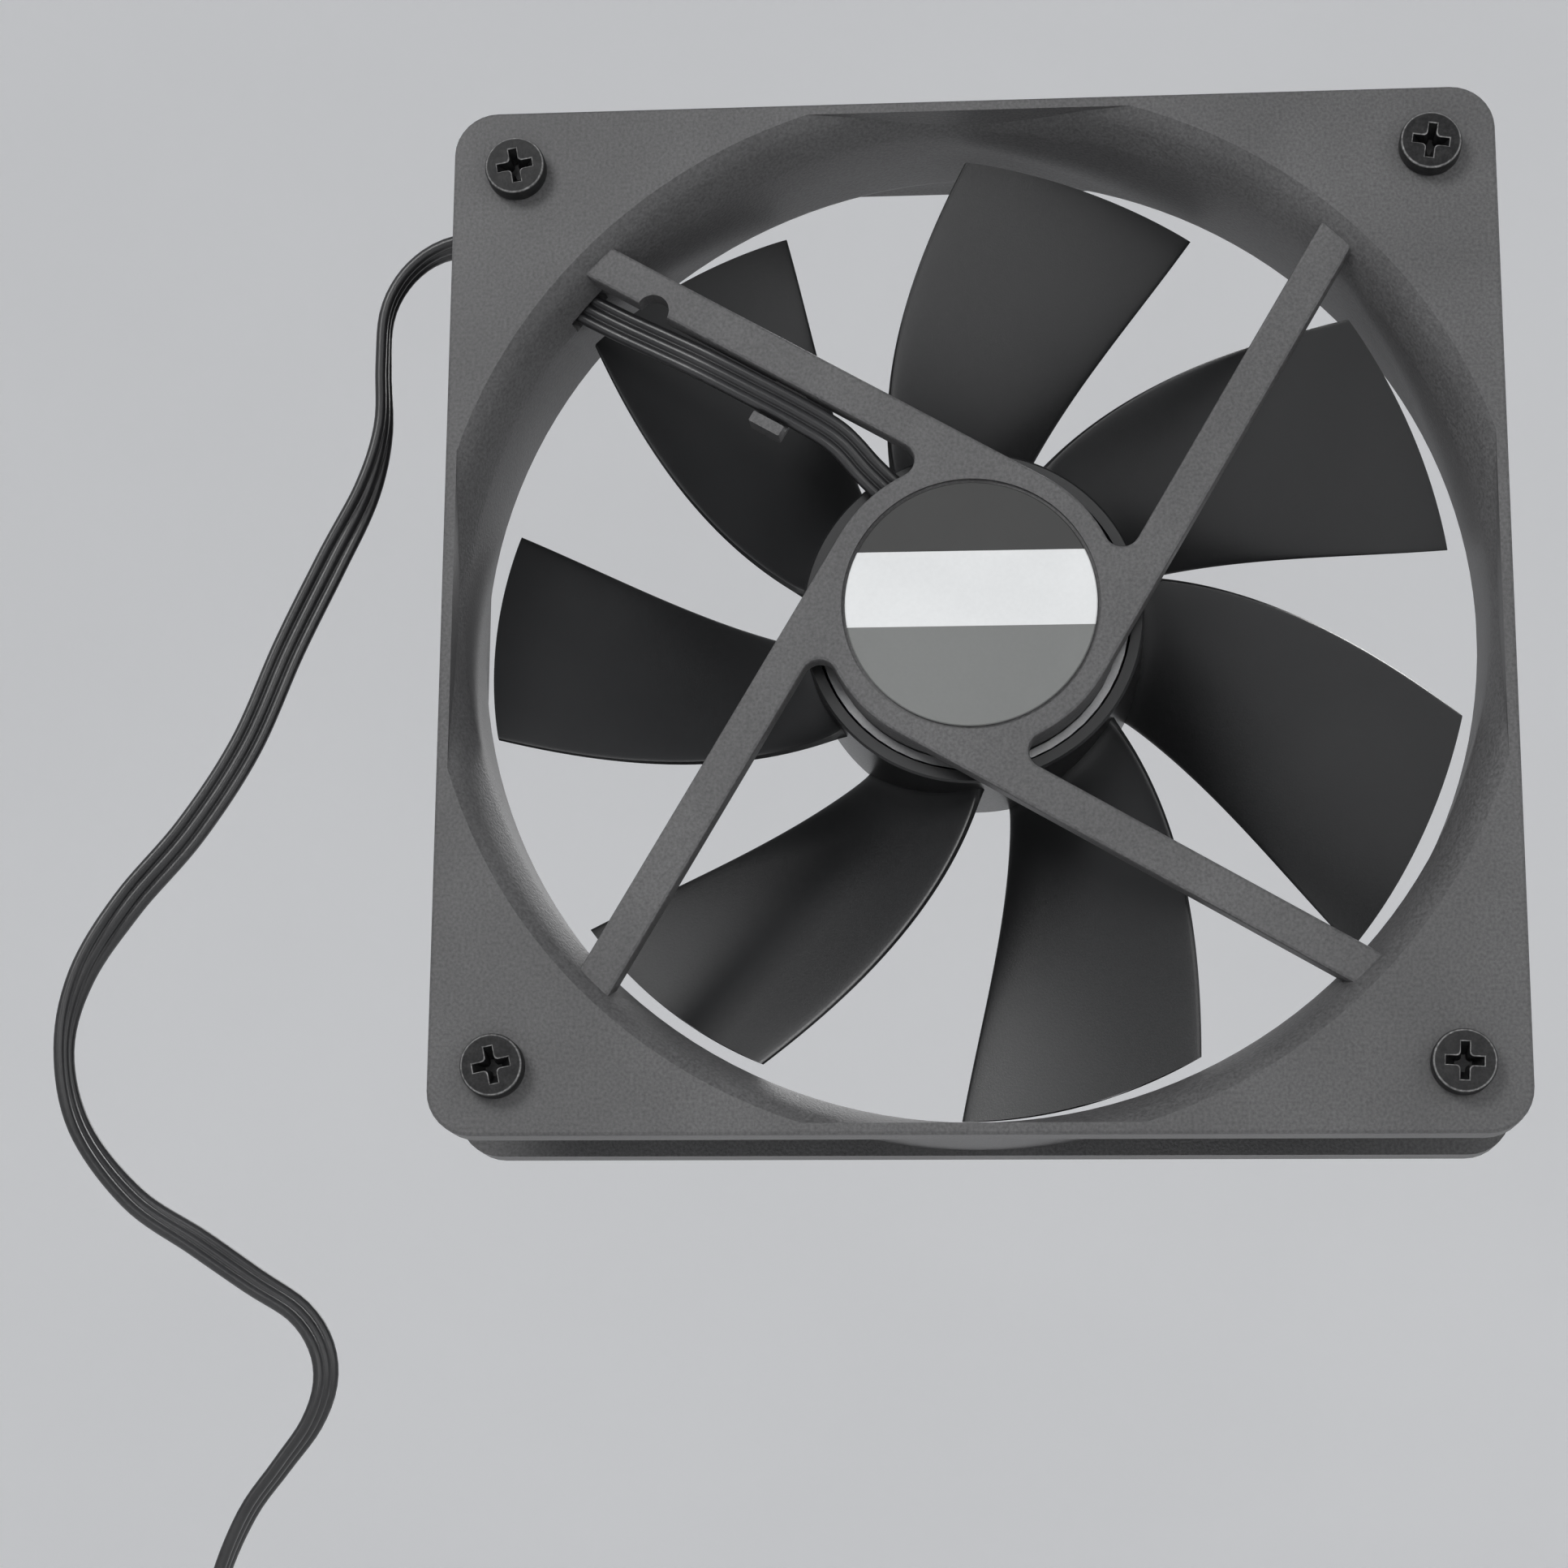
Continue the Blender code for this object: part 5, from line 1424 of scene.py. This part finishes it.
@dataclass
class Plug:
    """Three-way plug with its terminals, and the tie on the coil.

    Args:
        width: Size along the row of terminals.
        depth: Size across it.
        length: Size along the lead.
        corner: Radius of the housing's corners.
        pitch: Distance between terminals.
        cavity: Side of a terminal's cavity.
        corner_in: Radius of the corners of cavities, windows and ribs.
        window: Depth and width of a latch window.
        window_at: Levels of its two ends.
        rib: Height and width of the keying ribs.
        terminal: Side and length of a terminal.
        tie: Wall and width of the tie.
        share: Share of a turn from the coil's start to the tie.
    """

    width: float = 7.7
    depth: float = 5.8
    length: float = 12.6
    corner: float = 0.35
    pitch: float = 2.54
    cavity: float = 1.9
    corner_in: float = 0.2
    window: Point2 = (3.0, 1.2)
    window_at: Point2 = (4.5, 6.5)
    rib: Point2 = (0.8, 1.0)
    terminal: Point2 = (1.5, 10.0)
    tie: Point2 = (0.8, 3.0)
    share: float = 0.125

    def bar(self, size: Point2, levels: Point2) -> Shape:
        """Bar along the lead with small round corners."""
        return prism(rounded(*size, self.corner_in, steps=3), *levels)

    def build(self, lead: Lead) -> list[Item]:
        """Make the plug, its terminals and the tie.

        Args:
            lead: Lead that carries them.

        Returns:
            The finished pieces.
        """
        back = -lead.tail - CLEAR
        turn = Matrix(((1, 0, 0, 0), (0, 0, 1, 0), (0, -1, 0, back), (0, 0, 0, 1)))
        place = Matrix.Translation(lead.centre()) @ turn
        outline = rounded(self.depth, self.width, self.corner, steps=4)
        housing = solid("plug_housing", prism(outline, 0.0, self.length), place)
        for side in (-1.0, 1.0):
            rib = self.bar((2.0 * self.rib[0], self.rib[1]), (0.0, self.length))
            move = place @ shifted(self.depth / 2.0, 0.0, side * self.pitch)
            combine(housing, tool(rib, move), Boolean.ADD)
        terminals = []
        over = 1.0
        for number in (1, 2, 3):
            move = place @ shifted(0.0, 0.0, (number - 2) * self.pitch)
            hollow = self.bar((self.cavity, self.cavity), (-over, self.length + over))
            combine(housing, tool(hollow, move), Boolean.CUT)
            window = self.bar(self.window, self.window_at)
            combine(housing, tool(window, move @ shifted(-self.depth / 2.0, 0.0, 0.0)), Boolean.CUT)
            terminal = solid(f"terminal_{number}", self.crimp(), move)
            terminals.append(show(terminal, "tin", Body.FRAME, (f"lead_terminal_{number}",)))
        edged(housing, width=0.15)
        show(housing, "plug_plastic", Body.FRAME, ("lead_connector",))
        return [housing, *terminals, self.band(lead)]

    def crimp(self) -> Shape:
        """One crimp terminal: a box with a narrowed mouth.

        Returns:
            The terminal.
        """
        side, length = self.terminal
        end = self.length - CLEAR
        start = end - length
        # Level and share of the side, along the outside to the mouth and back along the inside
        rows = [(start, 0.72), (start + 2.4, 0.72), (start + 3.2, 1.0), (end - 0.5, 1.0), (end, 0.92)]
        rows += [(end, 0.62), (end - 0.6, 0.5), (start + 3.4, 0.5), (start + 2.4, 0.45), (start, 0.45)]
        rings = []
        for level, share in rows:
            size = side * share
            rings.append(at_level(rounded(size, size, size / 8.0, steps=3), level))
        return loft(rings, Ends.LOOP)

    def band(self, lead: Lead) -> Item:
        """Tie round two turns of the coil.

        Args:
            lead: Lead with the coil.

        Returns:
            The finished tie.
        """
        wall, width = self.tie
        radius, pitch, _ = lead.coil
        middle = radius - pitch * self.share - pitch / 2.0
        angle = math.pi + FULL * self.share
        slack = CLEAR + pitch / 24.0
        high = pitch + 2.0 * (lead.wire + slack)
        wide = 2.0 * (lead.wire * lead.count + CLEAR)
        rings = []
        for grow, side in ((wall, -0.5), (wall, 0.5), (0.0, 0.5), (0.0, -0.5)):
            outline = rounded(wide + 2.0 * grow, high + 2.0 * grow, CLEAR + grow, steps=6)
            rings.append(at_level(outline, side * width))
        place = lead.centre() + Vector((middle * math.cos(angle), 0.0, middle * math.sin(angle)))
        stand = about_axis(angle + QUARTER) @ Matrix.Rotation(QUARTER, 4, "Z")
        made = solid("coil_tie", loft(rings, Ends.LOOP), Matrix.Translation(place) @ stand)
        return show(edged(made, width=0.2), "tie", Body.FRAME, ("lead_tie",))


@dataclass
class Motor:
    """The solids inside the hub, which keep their shapes and get their finishes.

    Args:
        slots: Material slot of each node.
    """

    slots: dict[str, str] = field(
        default_factory=lambda: {
            "rotor_yoke": "steel",
            "rotor_magnet": "magnet",
            "rotor_shaft": "steel",
            "oil_slinger": "nylon",
            "retaining_clip": "nylon",
            "bearing_tube": "brass",
            "sleeve_bearing": "bronze",
            "thrust_cap": "nylon",
            "stator_core": "steel",
            "insulator_lower": "nylon",
            "insulator_upper": "nylon",
            **{f"winding_{number}": "copper" for number in (1, 2, 3, 4)},
            "circuit_board": "board",
            "hall_driver_chip": "chip",
            "board_capacitor": "ceramic",
            "board_resistor": "chip",
        }
    )

    def build(self, nodes: dict[str, Item]) -> None:
        """Give each node its finish.

        Args:
            nodes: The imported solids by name.
        """
        for name, slot in self.slots.items():
            painted(nodes[name], slot)
            LOG.info("%s: %s", name, slot)


@dataclass(frozen=True)
class Lamp:
    """One soft round light.

    Args:
        name: Its name.
        place: Position in metres.
        power: Watts.
        size: Width in metres.
        spread: Angle in degrees that it lights.
    """

    name: str
    place: Point3
    power: float
    size: float
    spread: float = 100.0

    def build(self, aim: Vector) -> None:
        """Put the light into the scene.

        Args:
            aim: Point that it faces, in metres.
        """
        data = bpy.data.lights.new(self.name, "AREA")
        data.energy = self.power
        data.shape = "DISK"
        data.size = self.size
        data.spread = math.radians(self.spread)
        made = placed(self.name, data)
        made.location = self.place
        made.rotation_mode = "QUATERNION"
        made.rotation_quaternion = (aim - Vector(self.place)).to_track_quat("-Z", "Y")


@dataclass
class Studio:
    """Camera of the photograph's angle, a pale sweep behind and soft lights.

    Args:
        place: Camera position.
        turn: Rotation vector of the photograph's camera in degrees.
        focal: Its focal length in pixels.
        middle: Its principal point in pixels, the same both ways.
        aim: Pixel that the camera looks at here.
        angle: Angle of view in degrees.
        flat: Radius of the sweep's flat floor in metres.
        bend: Radius of the curve round it in metres.
        wall: Level where its wall ends, in metres.
        sky: Colour of the light from all sides.
        glow: Strength of that light.
        target: Point that the lamps face, in metres.
        lamps: The lamps.
    """

    place: Point3 = (11.29, -365.13, -103.24)
    turn: Point3 = (-4.483, 8.030, 0.798)
    focal: float = 2054.6
    middle: float = 966.0
    aim: Point2 = (1080.0, 670.0)
    angle: float = 26.1
    flat: float = 1.7
    bend: float = 0.8
    wall: float = 1.7
    sky: Point4 = (0.94, 0.96, 1.0, 1.0)
    glow: float = 0.45
    target: Point3 = (-0.01, 0.0, 0.0)
    lamps: tuple[Lamp, ...] = (
        Lamp("key", (-0.5, -0.85, 0.5), 1.75, 0.5),
        Lamp("fill", (0.75, -0.75, 0.2), 0.6, 0.7),
        Lamp("low", (0.15, -0.95, 0.05), 0.32, 0.3),
        Lamp("back", (0.25, 0.8, 0.6), 1.2, 0.6),
    )

    def camera(self) -> None:
        """Put the camera where the photograph was taken."""
        spin = Vector([math.radians(value) for value in self.turn])
        look = Matrix.Rotation(spin.length, 3, spin.normalized())
        look = look @ Matrix(((1, 0, 0), (0, 0, -1), (0, 1, 0)))
        u, v = self.aim
        ray = Vector(((u - self.middle) / self.focal, (v - self.middle) / self.focal, 1.0))
        ahead = (look.transposed() @ ray).normalized()
        right = look[0] - ahead * ahead.dot(look[0])
        right.normalize()
        up = right.cross(ahead)
        data = bpy.data.cameras.new("camera")
        data.angle = math.radians(self.angle)
        data.clip_start = 0.01
        pose = Matrix((right, up, -ahead)).transposed().to_4x4()
        pose.translation = Vector(self.place) * MM
        made = placed("camera", data)
        made.matrix_world = pose
        bpy.context.scene.camera = made

    def sweep(self, floor: float) -> None:
        """Pale round floor that curves up into a low wall on every side.

        Args:
            floor: Level of the floor in metres.
        """
        near = 0.3
        profile = [(0.0, floor), (near, floor), (self.flat, floor)]
        profile += arc((self.flat, floor + self.bend), self.bend, -QUARTER, 0.0, steps=10)[1:]
        profile += [(self.flat + self.bend, self.wall)]
        turned = revolve(profile, steps=96, ends=Ends.OPEN)
        made = solid("backdrop", turned, Matrix.Rotation(QUARTER, 4, "X"))
        made.data.shade_smooth()
        pale, paler = (0.8, 0.8, 0.8), (0.83, 0.83, 0.83)
        paint = BackdropFinish("backdrop", pale, paler, 0.8, relief=0.0, patch_mm=400.0, speckle=0.0)
        made.data.materials.append(paint.material())
        made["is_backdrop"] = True

    def build(self, floor: float) -> None:
        """Set the stage.

        Args:
            floor: Level of the floor in metres.
        """
        self.camera()
        self.sweep(floor)
        for lamp in self.lamps:
            lamp.build(Vector(self.target))
        world = bpy.data.worlds.new("world")
        bpy.context.scene.world = world
        world.use_nodes = True
        sky = world.node_tree.nodes["Background"]
        sky.inputs["Color"].default_value = self.sky
        sky.inputs["Strength"].default_value = self.glow
        bpy.context.scene.view_settings.view_transform = "Standard"


def main() -> None:
    """Build every piece in order and hand the scene over."""
    logging.basicConfig(level=logging.INFO, format="%(message)s")
    for item in list(bpy.data.objects):
        bpy.data.objects.remove(item, do_unlink=True)
    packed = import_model()
    cad_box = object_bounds()
    repeater = Repeater("repeat_shape")
    shell = FrameShell()
    lead = Lead()
    Studio().build(cad_box[0].z - FLOOR_GAP)
    lead.build(shell, Plug().build(lead))
    shell.build()
    Impeller().build(repeater)
    Label().build()
    turns = {"top_left": 10.0, "top_right": -9.0, "bottom_left": 12.0, "bottom_right": -3.0}
    for corner, place in shell.holes().items():
        Screw("screw_" + corner, place, turns[corner]).build(repeater)
    Motor().build(packed["nodes"])


if __name__ == "__main__":
    main()
